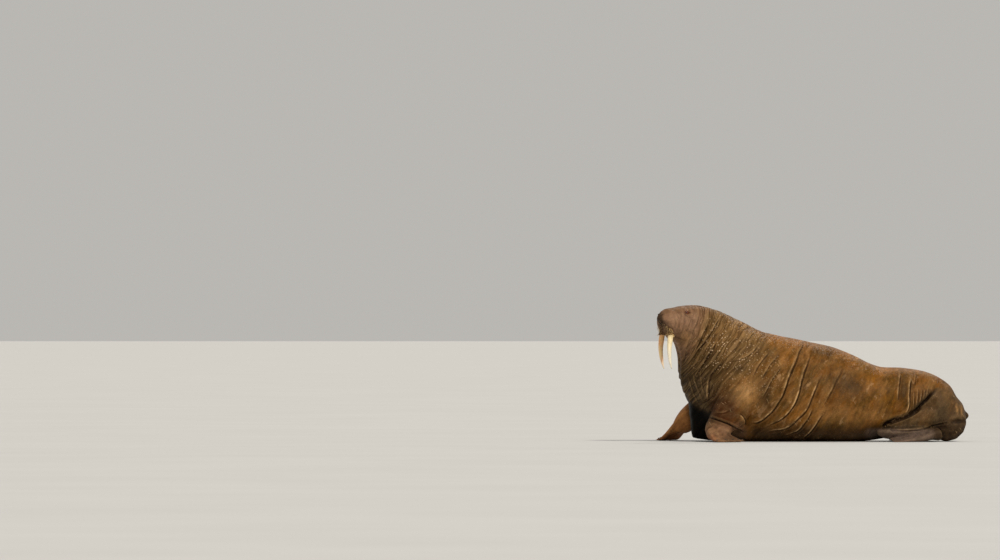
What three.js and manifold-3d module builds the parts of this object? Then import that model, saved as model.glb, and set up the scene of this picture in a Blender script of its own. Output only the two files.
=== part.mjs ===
// A walrus resting on level ground, propped on its fore flippers with its hind flippers tucked
// forward under the rump. Millimetres, +Z up. It faces -X, and its left side is towards -Y.
// The trunk from nose to tail root is one loft of sections, each laid between a point of the back
// and a point of the throat, chest or belly. Limbs, pads and jaw are joined to it or seated in it,
// and thin cuts then part the whole where its parts are named.

import * as THREE from "three";
import { mergeVertices } from "three/addons/utils/BufferGeometryUtils.js";
import Module from "manifold-3d";

const wasm = await Module();
wasm.setup();

// Driving dimensions
const GAP = 0.3; // between nodes that touch
const HEAD_TURN = THREE.MathUtils.degToRad(27); // the head looks a little to its left
const RING_SEGMENTS = 32; // points round each section of the trunk
const RING_STEP = 0.36; // between sections, as a share of the way from one station to the next
const NOSE_CAP = 32; // how far the blunt end of the muzzle bulges past the first station
const TAIL_CAP = 52; // the same at the rump

// The trunk's stations from nose to rump. Each has a point of the upper outline and a point of the
// lower one as [x, z], half the width there, how far the flesh sags to the floor, and how square
// the lower half is.
const STATIONS = [
  { at: "nose", top: [-1216, 1102], low: [-1202, 890], half: 100, sag: -0.06, square: 0.6 },
  { at: "eyes", top: [-1060, 1125], low: [-1128, 814], half: 134, sag: -0.12, square: 0.3 },
  { at: "crown", top: [-912, 1124], low: [-1092, 690], half: 172, sag: -0.02, square: 0.1 },
  { at: "nape", top: [-775, 1085], low: [-1084, 560], half: 236, sag: 0.04, square: 0 },
  { at: "neck", top: [-604, 1002], low: [-1060, 402], half: 314, sag: 0.06, square: 0 },
  { at: "shoulders", top: [-425, 919], low: [-966, 234], half: 384, sag: 0.08, square: 0.1 },
  { at: "breast", top: [-230, 870], low: [-800, 66], half: 430, sag: 0.1, square: 0.3 },
  { at: "chest", top: [-35, 826], low: [-545, -14], half: 448, sag: 0.12, square: 0.5 },
  { at: "belly", top: [165, 780], low: [-255, -16], half: 440, sag: 0.13, square: 0.6 },
  { at: "flank", top: [365, 704], low: [20, -16], half: 412, sag: 0.13, square: 0.6 },
  { at: "loin", top: [560, 622], low: [285, -16], half: 372, sag: 0.1, square: 0.5 },
  { at: "hips", top: [765, 611], low: [505, 12], half: 336, sag: 0.06, square: 0.4 },
  { at: "rump", top: [975, 567], low: [730, 44], half: 304, sag: 0.02, square: 0.2 },
  { at: "croup", top: [1142, 466], low: [960, 40], half: 254, sag: 0, square: 0.1 },
  { at: "tailRoot", top: [1242, 330], low: [1140, 36], half: 196, sag: 0, square: 0 },
];
const LAST = STATIONS.length - 1;

// Skin folds run with the sections. "at" counts stations, depth and width are millimetres, and from
// and to are degrees round from the middle of the back, alike on both sides.
const FOLDS = [
  { at: 2.35, depth: 7, width: 15, from: 30, to: 130 },
  { at: 2.75, depth: 9, width: 16, from: 0, to: 150 },
  { at: 3.15, depth: 10, width: 17, from: 25, to: 170 },
  { at: 3.55, depth: 12, width: 18, from: 20, to: 180 },
  { at: 3.95, depth: 12, width: 19, from: 40, to: 180 },
  { at: 4.4, depth: 13, width: 20, from: 35, to: 180 },
  { at: 4.95, depth: 12, width: 22, from: 60, to: 180 },
  { at: 5.5, depth: 10, width: 24, from: 70, to: 180 },
  { at: 6.55, depth: 12, width: 24, from: 40, to: 160 },
  { at: 7.0, depth: 17, width: 24, from: 45, to: 165 },
  { at: 7.4, depth: 17, width: 25, from: 50, to: 165 },
  { at: 7.85, depth: 12, width: 26, from: 60, to: 165 },
  { at: 10.35, depth: 8, width: 22, from: 25, to: 120 },
  { at: 10.95, depth: 10, width: 22, from: 25, to: 125 },
  { at: 11.4, depth: 12, width: 22, from: 20, to: 120 },
];
const FOLD_ROLL = 0.35; // the swollen lip beside a fold, as a share of its depth
const BOW = 62; // how far the torso's folds bow towards the rump at mid-height

const EYE = { back: 170, side: 88, up: 1070, radius: 23 };
const LID = { radius: 28, slitLong: 25, slitHigh: 14 };
const SNOUT = { back: 45, up: 1035, long: 80, wide: 80, high: 66 };
const PAD = { back: 66, side: 54, up: 966, long: 68, wide: 74, high: 92 };
const JAW = { back: 88, up: 886, long: 58, wide: 60, high: 46, mouth: 884 };
const NOSTRIL = { back: -18, side: 26, up: 1046, long: 26, wide: 7, high: 22, lean: 0.5 };
const EAR = { back: 316, side: 150, up: 1046, rim: 17, pit: 8 };
const BRISTLES = { rows: 6, columns: 6, root: 2.4, shortest: 18, longest: 36, sunk: 8 };
const MUZZLE_CUT = 96; // behind the nose, where the muzzle is parted from the head

// The tusk's middle line in the head's own frame: [back, side, up], and its half depth and width.
const TUSK = [
  { at: [45, 70, 940], deep: 25, wide: 18 },
  { at: [30, 75, 880], deep: 25, wide: 18 },
  { at: [18, 76, 770], deep: 20, wide: 15 },
  { at: [26, 71, 670], deep: 13, wide: 10 },
  { at: [43, 67, 606], deep: 4, wide: 3.5 },
];

const SKIN = { color: 0x7a5430, roughness: 0.78, metalness: 0 };
const DARK_SKIN = { color: 0x4a3626, roughness: 0.82, metalness: 0 };
const MUZZLE_SKIN = { color: 0x6e4a34, roughness: 0.7, metalness: 0 };
const IVORY = { color: 0xe8d2a0, roughness: 0.4, metalness: 0 };
const EYE_WET = { color: 0x2a1510, roughness: 0.08, metalness: 0 };
const HORN = { color: 0x3b2f28, roughness: 0.5, metalness: 0 };

// Turning geometry into solids and back

function solidOf(geometry) {
  const bare = geometry.clone();
  bare.deleteAttribute("normal");
  bare.deleteAttribute("uv");
  const merged = mergeVertices(bare, 1e-3);
  return new wasm.Manifold(
    new wasm.Mesh({
      numProp: 3,
      vertProperties: merged.attributes.position.array,
      triVerts: new Uint32Array(merged.index.array),
    }),
  );
}

function geometryOf(solid) {
  const mesh = solid.getMesh();
  const geometry = new THREE.BufferGeometry();
  geometry.setAttribute("position", new THREE.BufferAttribute(mesh.vertProperties, 3));
  geometry.setIndex(new THREE.BufferAttribute(mesh.triVerts, 1));
  geometry.computeVertexNormals();
  return geometry;
}

const largest = (solid) => solid.decompose().sort((a, b) => b.volume() - a.volume())[0];

// A solid from points and triangles, turned round if the faces point inwards.
function outward(points, faces) {
  const geometry = new THREE.BufferGeometry().setFromPoints(points);
  geometry.setIndex(faces);
  const solid = solidOf(geometry);
  if (solid.volume() > 0) return solid;
  geometry.setIndex(faces.reverse());
  return solidOf(geometry);
}

// A closed skin over rings of equal length, from a first tip through the rings to a last tip.
function loft(rings, firstTip, lastTip) {
  const count = rings[0].length;
  const points = [firstTip, ...rings.flat(), lastTip];
  const end = points.length - 1;
  const at = (ring, i) => 1 + ring * count + (i % count);
  const faces = [];
  for (let i = 0; i < count; i++) {
    faces.push(0, at(0, i + 1), at(0, i));
    for (let r = 0; r < rings.length - 1; r++) {
      faces.push(at(r, i), at(r, i + 1), at(r + 1, i));
      faces.push(at(r, i + 1), at(r + 1, i + 1), at(r + 1, i));
    }
    faces.push(end, at(rings.length - 1, i), at(rings.length - 1, i + 1));
  }
  return outward(points, faces);
}

function ellipsoid(centre, radii, turn = new THREE.Quaternion(), segments = 12) {
  const geometry = new THREE.SphereGeometry(1, segments, Math.round(segments * 0.6));
  const place = new THREE.Matrix4().compose(centre, turn, radii);
  return solidOf(geometry.applyMatrix4(place));
}

// The part of a solid on one side of the plane through a point, beyond an offset along the normal.
function beyond(solid, point, normal, offset = 0) {
  return solid.trimByPlane(normal.toArray(), point.dot(normal) + offset);
}

// The trunk

// A curve through one value of every station, read by station count.
function stationCurve(read) {
  const points = STATIONS.map((s) => new THREE.Vector3(...read(s)));
  const curve = new THREE.CatmullRomCurve3(points, false, "catmullrom", 0.5);
  return (u) => curve.getPoint(THREE.MathUtils.clamp(u / LAST, 0, 1));
}
const topAt = stationCurve((s) => [s.top[0], 0, s.top[1]]);
const lowAt = stationCurve((s) => [s.low[0], 0, s.low[1]]);
const buildAt = stationCurve((s) => [s.half, s.sag, s.square]);

const turnAt = (u) => HEAD_TURN * (1 - THREE.MathUtils.smoothstep(u, 1.2, 5.2));
const leftAt = (u) => new THREE.Vector3(Math.sin(turnAt(u)), -Math.cos(turnAt(u)), 0);
const forwardAt = (u) => new THREE.Vector3(-Math.cos(turnAt(u)), -Math.sin(turnAt(u)), 0);

const flatMiddle = (u) => topAt(u).add(lowAt(u)).multiplyScalar(0.5);

// The turned head carries the middle line sideways, so its y adds up from the shoulders forward.
function middleAt(u) {
  const middle = flatMiddle(u);
  const step = 0.1;
  for (let v = 6; v > u + 1e-6; v -= step) {
    const travel = flatMiddle(v).x - flatMiddle(Math.max(v - step, u)).x;
    middle.y -= travel * Math.tan(turnAt(v));
  }
  return middle;
}

const bowAt = (u) => BOW * THREE.MathUtils.smoothstep(u, 4, 7) * (1 - THREE.MathUtils.smoothstep(u, 9, 12));

// How many millimetres one station step is, where the folds are.
const stepLength = (u) => flatMiddle(Math.min(u + 0.5, LAST)).distanceTo(flatMiddle(Math.max(u - 0.5, 0)));

// Height of the skin over the smooth section: down in a fold, up on the lips beside it.
function foldHeight(u, degrees) {
  const round = degrees > 180 ? 360 - degrees : degrees;
  let height = 0;
  for (const fold of FOLDS) {
    const away = ((u - fold.at) * stepLength(fold.at)) / fold.width;
    const fadeIn = THREE.MathUtils.smoothstep(round, fold.from - 12, fold.from + 22);
    const fadeOut = 1 - THREE.MathUtils.smoothstep(round, fold.to - 15, fold.to + 15);
    const strength = fold.depth * fadeIn * (fold.to < 180 ? fadeOut : 1);
    height -= strength * Math.exp(-away * away);
    height += strength * FOLD_ROLL * Math.exp(-((Math.abs(away) - 1.5) ** 2));
  }
  return height;
}

function trunkRing(u, shrink = 1, shift = 0) {
  const top = topAt(u);
  const low = lowAt(u);
  const [half, sag, square] = buildAt(u).toArray();
  const middle = middleAt(u);
  const rise = top.sub(low).multiplyScalar(0.5);
  const ring = [];
  for (let i = 0; i < RING_SEGMENTS; i++) {
    const angle = (i / RING_SEGMENTS) * 2 * Math.PI;
    const [c, s] = [Math.cos(angle), Math.sin(angle)];
    const power = c < 0 ? 2 / (2 + square) : 1;
    const v = Math.sign(c) * Math.abs(c) ** power;
    const h = Math.sign(s) * Math.abs(s) ** power * (1 - sag * v);
    const spread = rise.clone().multiplyScalar(v).addScaledVector(leftAt(u), h * half);
    const lift = foldHeight(u, THREE.MathUtils.radToDeg(angle)) / spread.length();
    const point = middle.clone().addScaledVector(spread, shrink * (1 + lift));
    point.x += bowAt(u) * (1 - v * v);
    ring.push(point.addScaledVector(forwardAt(u), shift));
  }
  return ring;
}

// Sections at even steps, with three at each fold in place of those too near it.
function trunkCounts() {
  const counts = [];
  for (const fold of FOLDS) {
    const side = (fold.width * 1.1) / stepLength(fold.at);
    counts.push(fold.at - side, fold.at, fold.at + side);
  }
  const near = (u) => counts.some((c) => Math.abs(c - u) < RING_STEP * 0.45);
  for (let u = 0; u <= LAST + 1e-6; u += RING_STEP) {
    if (u < 1e-6 || u > LAST - 1e-6 || !near(u)) counts.push(u);
  }
  return counts.sort((a, b) => a - b);
}

function trunk() {
  const capAngles = [72, 50, 26].map(THREE.MathUtils.degToRad);
  const nose = capAngles.map((a) => trunkRing(0, Math.cos(a) ** 0.7, NOSE_CAP * Math.sin(a)));
  const tail = capAngles.map((a) => trunkRing(LAST, Math.cos(a), -TAIL_CAP * Math.sin(a)));
  const rings = [...nose, ...trunkCounts().map((u) => trunkRing(u)), ...tail.reverse()];
  const noseTip = middleAt(0).addScaledVector(forwardAt(0), NOSE_CAP);
  const tailTip = middleAt(LAST).addScaledVector(forwardAt(LAST), -TAIL_CAP);
  return loft(rings, noseTip, tailTip);
}

// The head's own frame: back from the nose, out to the left side, and up from the floor

const NOSE = middleAt(0).addScaledVector(forwardAt(0), NOSE_CAP);
const headTurn = new THREE.Quaternion().setFromAxisAngle(new THREE.Vector3(0, 0, 1), HEAD_TURN);

function headPoint(back, side, up) {
  const point = NOSE.clone().addScaledVector(forwardAt(0), -back).addScaledVector(leftAt(0), side);
  return point.setZ(up);
}

// A blob of flesh on the head. Its radii are along the head, across it and up.
function headBlob({ back, side = 0, up, long, wide, high }, grow = 0, segments = 14) {
  const radii = new THREE.Vector3(long + grow, wide + grow, high + grow);
  return ellipsoid(headPoint(back, side, up), radii, headTurn, segments);
}

// Seeded numbers from 0 to 1, the same at every run.
function seeded(seed) {
  let state = seed;
  return () => {
    state = (state * 1664525 + 1013904223) % 4294967296;
    return state / 4294967296;
  };
}

// A straight tapered spine with four sides.
function spine(root, direction, length, radius) {
  const geometry = new THREE.ConeGeometry(radius, length, 4, 1);
  geometry.translate(0, length / 2, 0);
  const turn = new THREE.Quaternion().setFromUnitVectors(new THREE.Vector3(0, 1, 0), direction);
  geometry.applyMatrix4(new THREE.Matrix4().compose(root, turn, new THREE.Vector3(1, 1, 1)));
  return solidOf(geometry);
}

// The whisker bristles of one pad, in staggered rows over its front and lower face.
function bristles(side, random) {
  const made = [];
  for (let row = 0; row < BRISTLES.rows; row++) {
    for (let column = 0; column < BRISTLES.columns; column++) {
      const across = (column + (row % 2) / 2 + random() * 0.3) / BRISTLES.columns;
      const down = (row + random() * 0.4) / BRISTLES.rows;
      const swing = THREE.MathUtils.degToRad(-30 + 95 * across);
      const dip = THREE.MathUtils.degToRad(8 - 66 * down);
      const out = new THREE.Vector3(Math.cos(dip) * Math.cos(swing), Math.cos(dip) * Math.sin(swing), Math.sin(dip));
      const reach = (scale) => [PAD.long * out.x * scale, PAD.wide * out.y * scale, PAD.high * out.z * scale];
      const sunk = 1 - BRISTLES.sunk / PAD.wide;
      const [ahead, aside, above] = reach(sunk);
      const root = headPoint(PAD.back - ahead, side * (PAD.side + aside), PAD.up + above);
      const direction = forwardAt(0).multiplyScalar(out.x);
      direction.addScaledVector(leftAt(0), side * (out.y + 0.1));
      direction.z = out.z - 0.8;
      const length = BRISTLES.sunk + BRISTLES.shortest + (BRISTLES.longest - BRISTLES.shortest) * random();
      made.push(spine(root, direction.normalize(), length, BRISTLES.root));
    }
  }
  return wasm.Manifold.union(made);
}

// Eyelids: a raised round of skin over the eyeball, opened by a long low slit.
function lids(side) {
  const at = headPoint(EYE.back, side * EYE.side, EYE.up);
  return ellipsoid(at, new THREE.Vector3(LID.radius * 1.25, LID.radius, LID.radius), headTurn, 14);
}

function lidSlit(side) {
  const at = headPoint(EYE.back, side * (EYE.side + LID.radius), EYE.up);
  return ellipsoid(at, new THREE.Vector3(LID.slitLong, LID.radius, LID.slitHigh), headTurn, 12);
}

const eyeball = (side, grow) => {
  const radius = EYE.radius + grow;
  const at = headPoint(EYE.back, side * EYE.side, EYE.up);
  return ellipsoid(at, new THREE.Vector3(radius, radius, radius), headTurn, 14);
};

// A comma-shaped slit high on the front of the muzzle.
function nostril(side) {
  const { back, up, long, wide, high, lean } = NOSTRIL;
  const twist = new THREE.Quaternion().setFromAxisAngle(new THREE.Vector3(1, 0, 0), side * lean);
  const turn = headTurn.clone().multiply(twist);
  return ellipsoid(headPoint(back, side * NOSTRIL.side, up), new THREE.Vector3(long, wide, high), turn, 10);
}

// A walrus has no ear flap: a low rim of skin round a small pit.
function earRim(side) {
  const at = headPoint(EAR.back, side * EAR.side, EAR.up);
  return ellipsoid(at, new THREE.Vector3(EAR.rim * 1.3, EAR.rim, EAR.rim), headTurn, 10);
}

function earPit(side) {
  const at = headPoint(EAR.back, side * (EAR.side + EAR.rim), EAR.up);
  return ellipsoid(at, new THREE.Vector3(EAR.pit, EAR.rim * 1.2, EAR.pit * 0.7), headTurn, 8);
}

function tusk(side, grow) {
  const sides = 12;
  const points = TUSK.map(({ at: [back, out, up] }) => headPoint(back, side * out, up));
  const curve = new THREE.CatmullRomCurve3(points, false, "catmullrom", 0.5);
  const sizes = TUSK.map(({ deep, wide }) => new THREE.Vector3(deep, wide, 0));
  const size = new THREE.CatmullRomCurve3(sizes, false, "catmullrom", 0.5);
  const steps = 10;
  const rings = [];
  for (let i = 0; i <= steps; i++) {
    const { x: deep, y: wide } = size.getPoint(i / steps);
    const centre = curve.getPoint(i / steps);
    rings.push(
      [...Array(sides).keys()].map((k) => {
        const angle = (k / sides) * 2 * Math.PI;
        return centre
          .clone()
          .addScaledVector(forwardAt(0), Math.cos(angle) * (deep + grow))
          .addScaledVector(leftAt(0), Math.sin(angle) * (wide + grow));
      }),
    );
  }
  const rootTip = points[0].clone().add(new THREE.Vector3(0, 0, 6 + grow));
  const pointTip = points[points.length - 1].clone().add(new THREE.Vector3(0, 0, -4 - grow));
  return loft(rings, rootTip, pointTip);
}

const jaw = (grow) => {
  const whole = headBlob({ ...JAW, side: 0 }, grow);
  return beyond(whole, new THREE.Vector3(0, 0, JAW.mouth + grow), new THREE.Vector3(0, 0, -1));
};

// Limbs

// A fleshy limb along a smooth line. Each stop is { at, wide, deep }: its half width across the
// limb on the level, and its half depth at right angles to that.
function limb(stops, grow = 0, steps = 9) {
  const sides = 14;
  const line = new THREE.CatmullRomCurve3(stops.map((s) => new THREE.Vector3(...s.at)), false, "catmullrom", 0.5);
  const sizes = stops.map((s) => new THREE.Vector3(s.wide + grow, s.deep + grow, 0));
  const size = new THREE.CatmullRomCurve3(sizes, false, "catmullrom", 0.5);
  const up = new THREE.Vector3(0, 0, 1);
  const ringAt = (t, shrink, shift) => {
    const along = line.getTangent(t);
    const across = new THREE.Vector3().crossVectors(along, up).normalize();
    const over = new THREE.Vector3().crossVectors(across, along).normalize();
    const { x: wide, y: deep } = size.getPoint(t);
    const centre = line.getPoint(t).addScaledVector(along, shift * deep);
    return [...Array(sides).keys()].map((k) => {
      const angle = (k / sides) * 2 * Math.PI;
      return centre
        .clone()
        .addScaledVector(across, Math.cos(angle) * wide * shrink)
        .addScaledVector(over, Math.sin(angle) * deep * shrink);
    });
  };
  const rings = [ringAt(0, 0.7, -0.5)];
  for (let i = 0; i <= steps; i++) rings.push(ringAt(i / steps, 1, 0));
  rings.push(ringAt(1, 0.85, 0.45), ringAt(1, 0.5, 0.8));
  const tip = (t, shift) => line.getPoint(t).addScaledVector(line.getTangent(t), shift * size.getPoint(t).y);
  return loft(rings, tip(0, -0.7), tip(1, 0.95));
}

// A flipper is five digits in one web, fanned from a pivot behind the wrist. A place on it is given
// by a, from 0 at the wrist to 1 at the rim, b, from -1 to 1 across the digits, and its face, 1 or -1.
function webWay({ heading, side, spread }, b) {
  const angle = heading + side * b * spread;
  return new THREE.Vector3(Math.cos(angle), Math.sin(angle), 0);
}

function webPoint(shape, a, b, face, grow = 0) {
  const { wrist, heading, spread, neck, reach, digits, settle, root, rim, ridge, sink, tilt } = shape;
  const digit = ((b + 1) / 2) * (digits.length - 1);
  const low = Math.min(Math.floor(digit), digits.length - 2);
  const share = THREE.MathUtils.lerp(digits[low], digits[low + 1], THREE.MathUtils.smoothstep(digit - low, 0, 1));
  const lobe = Math.cos(b * 4 * Math.PI);
  const radius = neck + a * reach * share * (1 + 0.04 * lobe * a) + grow * (5 * a - 2);
  const back = new THREE.Vector3(Math.cos(heading), Math.sin(heading), 0).multiplyScalar(-neck);
  const place = new THREE.Vector3(...wrist).add(back).addScaledVector(webWay(shape, b), radius);
  place.addScaledVector(webWay(shape, b + Math.PI / 2 / spread), grow * b ** 5);
  const full = THREE.MathUtils.lerp(root, rim, Math.min(1, a * 1.08) ** 0.75);
  const rounding = Math.sqrt(1 - b ** 6) * Math.sqrt(1 - Math.max(0, a - 0.8) * 4);
  const edge = Math.max(rounding, 0.32);
  const crest = face > 0 ? ridge * (0.5 + 0.5 * lobe) * edge * Math.sin(Math.PI * Math.min(1, a + 0.15)) : 0;
  const lean = tilt * radius * (Math.sin(spread) - Math.sin(b * spread));
  const rise = THREE.MathUtils.lerp(wrist[2], full / 2 - sink, THREE.MathUtils.smoothstep(a, 0, settle));
  return place.setZ(rise + lean + face * ((full * edge) / 2 + grow + crest));
}

// Two like sheets, the upper one ridged over each digit, meet round the rim.
function flipper(shape, grow = 0) {
  const [alongSteps, acrossSteps] = [6, 16];
  const points = [];
  for (const face of [1, -1]) {
    for (let i = 0; i <= alongSteps; i++) {
      for (let k = 0; k <= acrossSteps; k++) {
        points.push(webPoint(shape, i / alongSteps, (2 * k) / acrossSteps - 1, face, grow));
      }
    }
  }
  const row = acrossSteps + 1;
  const below = points.length / 2;
  const faces = [];
  for (let i = 0; i < alongSteps; i++) {
    for (let k = 0; k < acrossSteps; k++) {
      const at = i * row + k;
      faces.push(at, at + row, at + row + 1, at, at + row + 1, at + 1);
      faces.push(below + at, below + at + row + 1, below + at + row);
      faces.push(below + at, below + at + 1, below + at + row + 1);
    }
  }
  const rimLoop = [];
  for (let k = 0; k < acrossSteps; k++) rimLoop.push(k);
  for (let i = 0; i < alongSteps; i++) rimLoop.push(i * row + acrossSteps);
  for (let k = acrossSteps; k > 0; k--) rimLoop.push(alongSteps * row + k);
  for (let i = alongSteps; i > 0; i--) rimLoop.push(i * row);
  rimLoop.forEach((at, i) => {
    const next = rimLoop[(i + 1) % rimLoop.length];
    faces.push(at, next, below + next, at, below + next, below + at);
  });
  return outward(points, faces);
}

const degrees = THREE.MathUtils.degToRad;

const FORE_LEFT = {
  arm: [
    { at: [-548, -258, 410], wide: 196, deep: 204 },
    { at: [-672, -366, 262], wide: 166, deep: 158 },
    { at: [-768, -428, 142], wide: 126, deep: 104 },
    { at: [-792, -478, 76], wide: 112, deep: 66 },
  ],
  hand: {
    wrist: [-800, -474, 70],
    heading: degrees(-52),
    spread: degrees(17),
    neck: 350,
    reach: 232,
    digits: [0.84, 0.92, 1, 1.04, 1.02],
    settle: 0.55,
    root: 112,
    rim: 22,
    ridge: 7,
    sink: 3,
    tilt: 0,
    side: -1,
  },
};
const FORE_RIGHT = {
  arm: [
    { at: [-640, 250, 420], wide: 186, deep: 190 },
    { at: [-812, 340, 302], wide: 156, deep: 146 },
    { at: [-984, 410, 206], wide: 120, deep: 106 },
    { at: [-1056, 440, 140], wide: 106, deep: 86 },
  ],
  hand: {
    wrist: [-1050, 440, 132],
    heading: degrees(151),
    spread: degrees(17),
    neck: 350,
    reach: 200,
    digits: [0.84, 0.92, 1, 1.04, 1.02],
    settle: 0.9,
    root: 140,
    rim: 22,
    ridge: 7,
    sink: 3,
    tilt: 0,
    side: 1,
  },
};
const HIND_LEFT = {
  leg: [
    { at: [1090, -100, 262], wide: 104, deep: 128 },
    { at: [975, -196, 244], wide: 98, deep: 140 },
    { at: [826, -258, 184], wide: 78, deep: 88 },
    { at: [650, -316, 136], wide: 42, deep: 38 },
  ],
  heel: { at: [1112, -132, 154], radii: [166, 112, 158] },
  foot: {
    wrist: [1030, -250, 56],
    heading: degrees(196),
    spread: degrees(15),
    neck: 380,
    reach: 440,
    digits: [1.14, 0.98, 0.92, 0.98, 1.1],
    settle: 0.5,
    root: 104,
    rim: 18,
    ridge: 8,
    sink: 9,
    tilt: 0.1,
    side: 1,
  },
};

// The right hind limb repeats the left one across the middle, a little further back.
const HIND_SHIFT = 18;
function acrossMiddle({ leg, heel, foot }) {
  const flip = ([x, y, z]) => [x + HIND_SHIFT, -y, z];
  return {
    leg: leg.map((s) => ({ ...s, at: flip(s.at) })),
    heel: { ...heel, at: flip(heel.at) },
    foot: { ...foot, wrist: flip(foot.wrist), heading: 2 * Math.PI - foot.heading, side: -foot.side },
  };
}
const HIND_RIGHT = acrossMiddle(HIND_LEFT);

const NAIL = { long: 13, wide: 6.5, high: 6 };
const TAIL = { at: [1268, 0, 214], radii: [42, 44, 24] };

function nail({ at, way }, grow) {
  const turn = new THREE.Quaternion().setFromUnitVectors(new THREE.Vector3(1, 0, 0), way);
  const radii = new THREE.Vector3(NAIL.long + grow, NAIL.wide + grow, NAIL.high + grow);
  return ellipsoid(at, radii, turn, 6);
}

// Putting the animal together

const floorCut = (solid) => solid.trimByPlane([0, 0, 1], 0);
const nodes = new Map();
const looks = new Map();
function keep(name, solid, look) {
  nodes.set(name, largest(floorCut(solid)));
  looks.set(name, look);
}

let body = trunk().add(headBlob(SNOUT, 0, 16));
for (const side of [1, -1]) {
  body = body.add(headBlob({ ...PAD, side: side * PAD.side }, 0, 16));
  body = body.add(lids(side)).subtract(lidSlit(side));
  body = body.add(earRim(side)).subtract(earPit(side));
  body = body.subtract(nostril(side));
}

// Cuts a piece's seat into the body, a gap wider than the piece all round.
function seat(name, make, look) {
  body = body.subtract(make(GAP));
  keep(name, make(0), look);
}

const wristCut = (arm) => {
  const [before, last] = arm.slice(-2).map((s) => new THREE.Vector3(...s.at));
  return { point: last, normal: last.clone().sub(before).normalize() };
};

// The arm reaches into the trunk and ends at the wrist. Everything past the wrist is the flipper.
function foreLimb(side, { arm, hand }) {
  const { point, normal } = wristCut(arm);
  const far = (grow) => beyond(limb(arm, grow).add(flipper(hand, grow)), point, normal, GAP - grow);
  seat("fore_arm_" + side, (grow) => beyond(limb(arm, grow), point, normal.clone().negate(), -grow), SKIN);
  seat("fore_flipper_" + side, (grow) => largest(far(grow)), DARK_SKIN);
}

function hindLimb(side, { leg, heel, foot }) {
  const heelAt = new THREE.Vector3(...heel.at);
  body = body.add(ellipsoid(heelAt, new THREE.Vector3(...heel.radii), undefined, 12));
  seat("hind_flipper_" + side, (grow) => flipper(foot, grow), DARK_SKIN);
  const shank = (grow) => {
    const hip = new THREE.Vector3(...leg[1].at);
    const way = new THREE.Vector3(...leg[2].at).sub(hip).normalize();
    return beyond(limb(leg, grow), hip, way, GAP - grow);
  };
  body = body.add(limb(leg)).subtract(shank(GAP)).subtract(flipper(foot, GAP));
  keep("hind_leg_" + side, shank(0).subtract(flipper(foot, GAP)), DARK_SKIN);
}

foreLimb("left", FORE_LEFT);
foreLimb("right", FORE_RIGHT);
hindLimb("left", HIND_LEFT);
hindLimb("right", HIND_RIGHT);
seat("lower_jaw", jaw, MUZZLE_SKIN);
seat(
  "tail",
  (grow) => ellipsoid(new THREE.Vector3(...TAIL.at), new THREE.Vector3(...TAIL.radii).addScalar(grow), undefined, 12),
  DARK_SKIN,
);

const random = seeded(41);
for (const side of [1, -1]) body = body.add(bristles(side, random));
for (const [name, side] of [["left", 1], ["right", -1]]) {
  seat("eye_" + name, (grow) => eyeball(side, grow), EYE_WET);
  seat("tusk_" + name, (grow) => tusk(side, grow), IVORY);
  nodes.set("lower_jaw", largest(nodes.get("lower_jaw").subtract(tusk(side, GAP))));
}

// Five small nails on the back of each flipper, in seats of their own.
for (const [name, shape, reach] of [
  ["fore_flipper_left", FORE_LEFT.hand, 0.86],
  ["fore_flipper_right", FORE_RIGHT.hand, 0.86],
  ["hind_flipper_left", HIND_LEFT.foot, 0.8],
  ["hind_flipper_right", HIND_RIGHT.foot, 0.8],
]) {
  for (let digit = 0; digit < 5; digit++) {
    const b = (digit / 2 - 1) * 0.93;
    const spot = { at: webPoint(shape, reach, b, 1), way: webWay(shape, b) };
    nodes.set(name, largest(nodes.get(name).subtract(nail(spot, GAP))));
    body = body.subtract(nail(spot, GAP));
    keep("nail_" + name + "_" + (digit + 1), nail(spot, 0), HORN);
  }
}

// Thin flat cuts part the trunk, from the head back. Each runs from the back at station count u to
// the underside at count lowU.
function partAt(u, name, look, lowU = u) {
  const rise = topAt(u).sub(lowAt(lowU));
  const point = middleAt(u).addScaledVector(topAt(u).sub(lowAt(u)), 0.5);
  const back = new THREE.Vector3().crossVectors(rise, leftAt(u)).normalize();
  if (back.x < 0) back.negate();
  keep(name, beyond(body, point, back.clone().negate(), GAP / 2), look);
  body = beyond(body, point, back, GAP / 2);
}

const muzzlePoint = headPoint(MUZZLE_CUT, 0, 0);
const muzzle = beyond(body, muzzlePoint, forwardAt(0), GAP / 2);
body = beyond(body, muzzlePoint, forwardAt(0).negate(), GAP / 2);
keep("muzzle_left", beyond(muzzle, muzzlePoint, leftAt(0), GAP / 2), MUZZLE_SKIN);
keep("muzzle_right", beyond(muzzle, muzzlePoint, leftAt(0).negate(), GAP / 2), MUZZLE_SKIN);
partAt(2.75, "head", SKIN);
partAt(4.95, "neck", SKIN, 4.1);
partAt(8.4, "torso_front", SKIN);
partAt(10.95, "torso_rear", SKIN);
keep("hindquarters", body, SKIN);

// The origin is on the floor under the middle of the whole animal.
const walrus = new THREE.Group();
for (const [name, solid] of nodes) {
  const mesh = new THREE.Mesh(geometryOf(solid), new THREE.MeshStandardMaterial(looks.get(name)));
  mesh.name = name;
  walrus.add(mesh);
}
const middle = new THREE.Box3().setFromObject(walrus, true).getCenter(new THREE.Vector3());
walrus.position.set(-middle.x, -middle.y, 0);

export default walrus;
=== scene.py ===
# %% [markdown]
# # A walrus resting on level ground
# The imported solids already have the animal's outline and proportions. This script dresses them: one
# smooth skin over all the flesh, folded and creased as the hide of a walrus is, then fine tusks,
# eyes, nails and whisker bristles. Everything is in metres and in the frame of the solids. The
# animal faces -X, its left side is towards -Y, and +Z is up.

# %% Tools and the fixed frame
import itertools
import math

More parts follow.
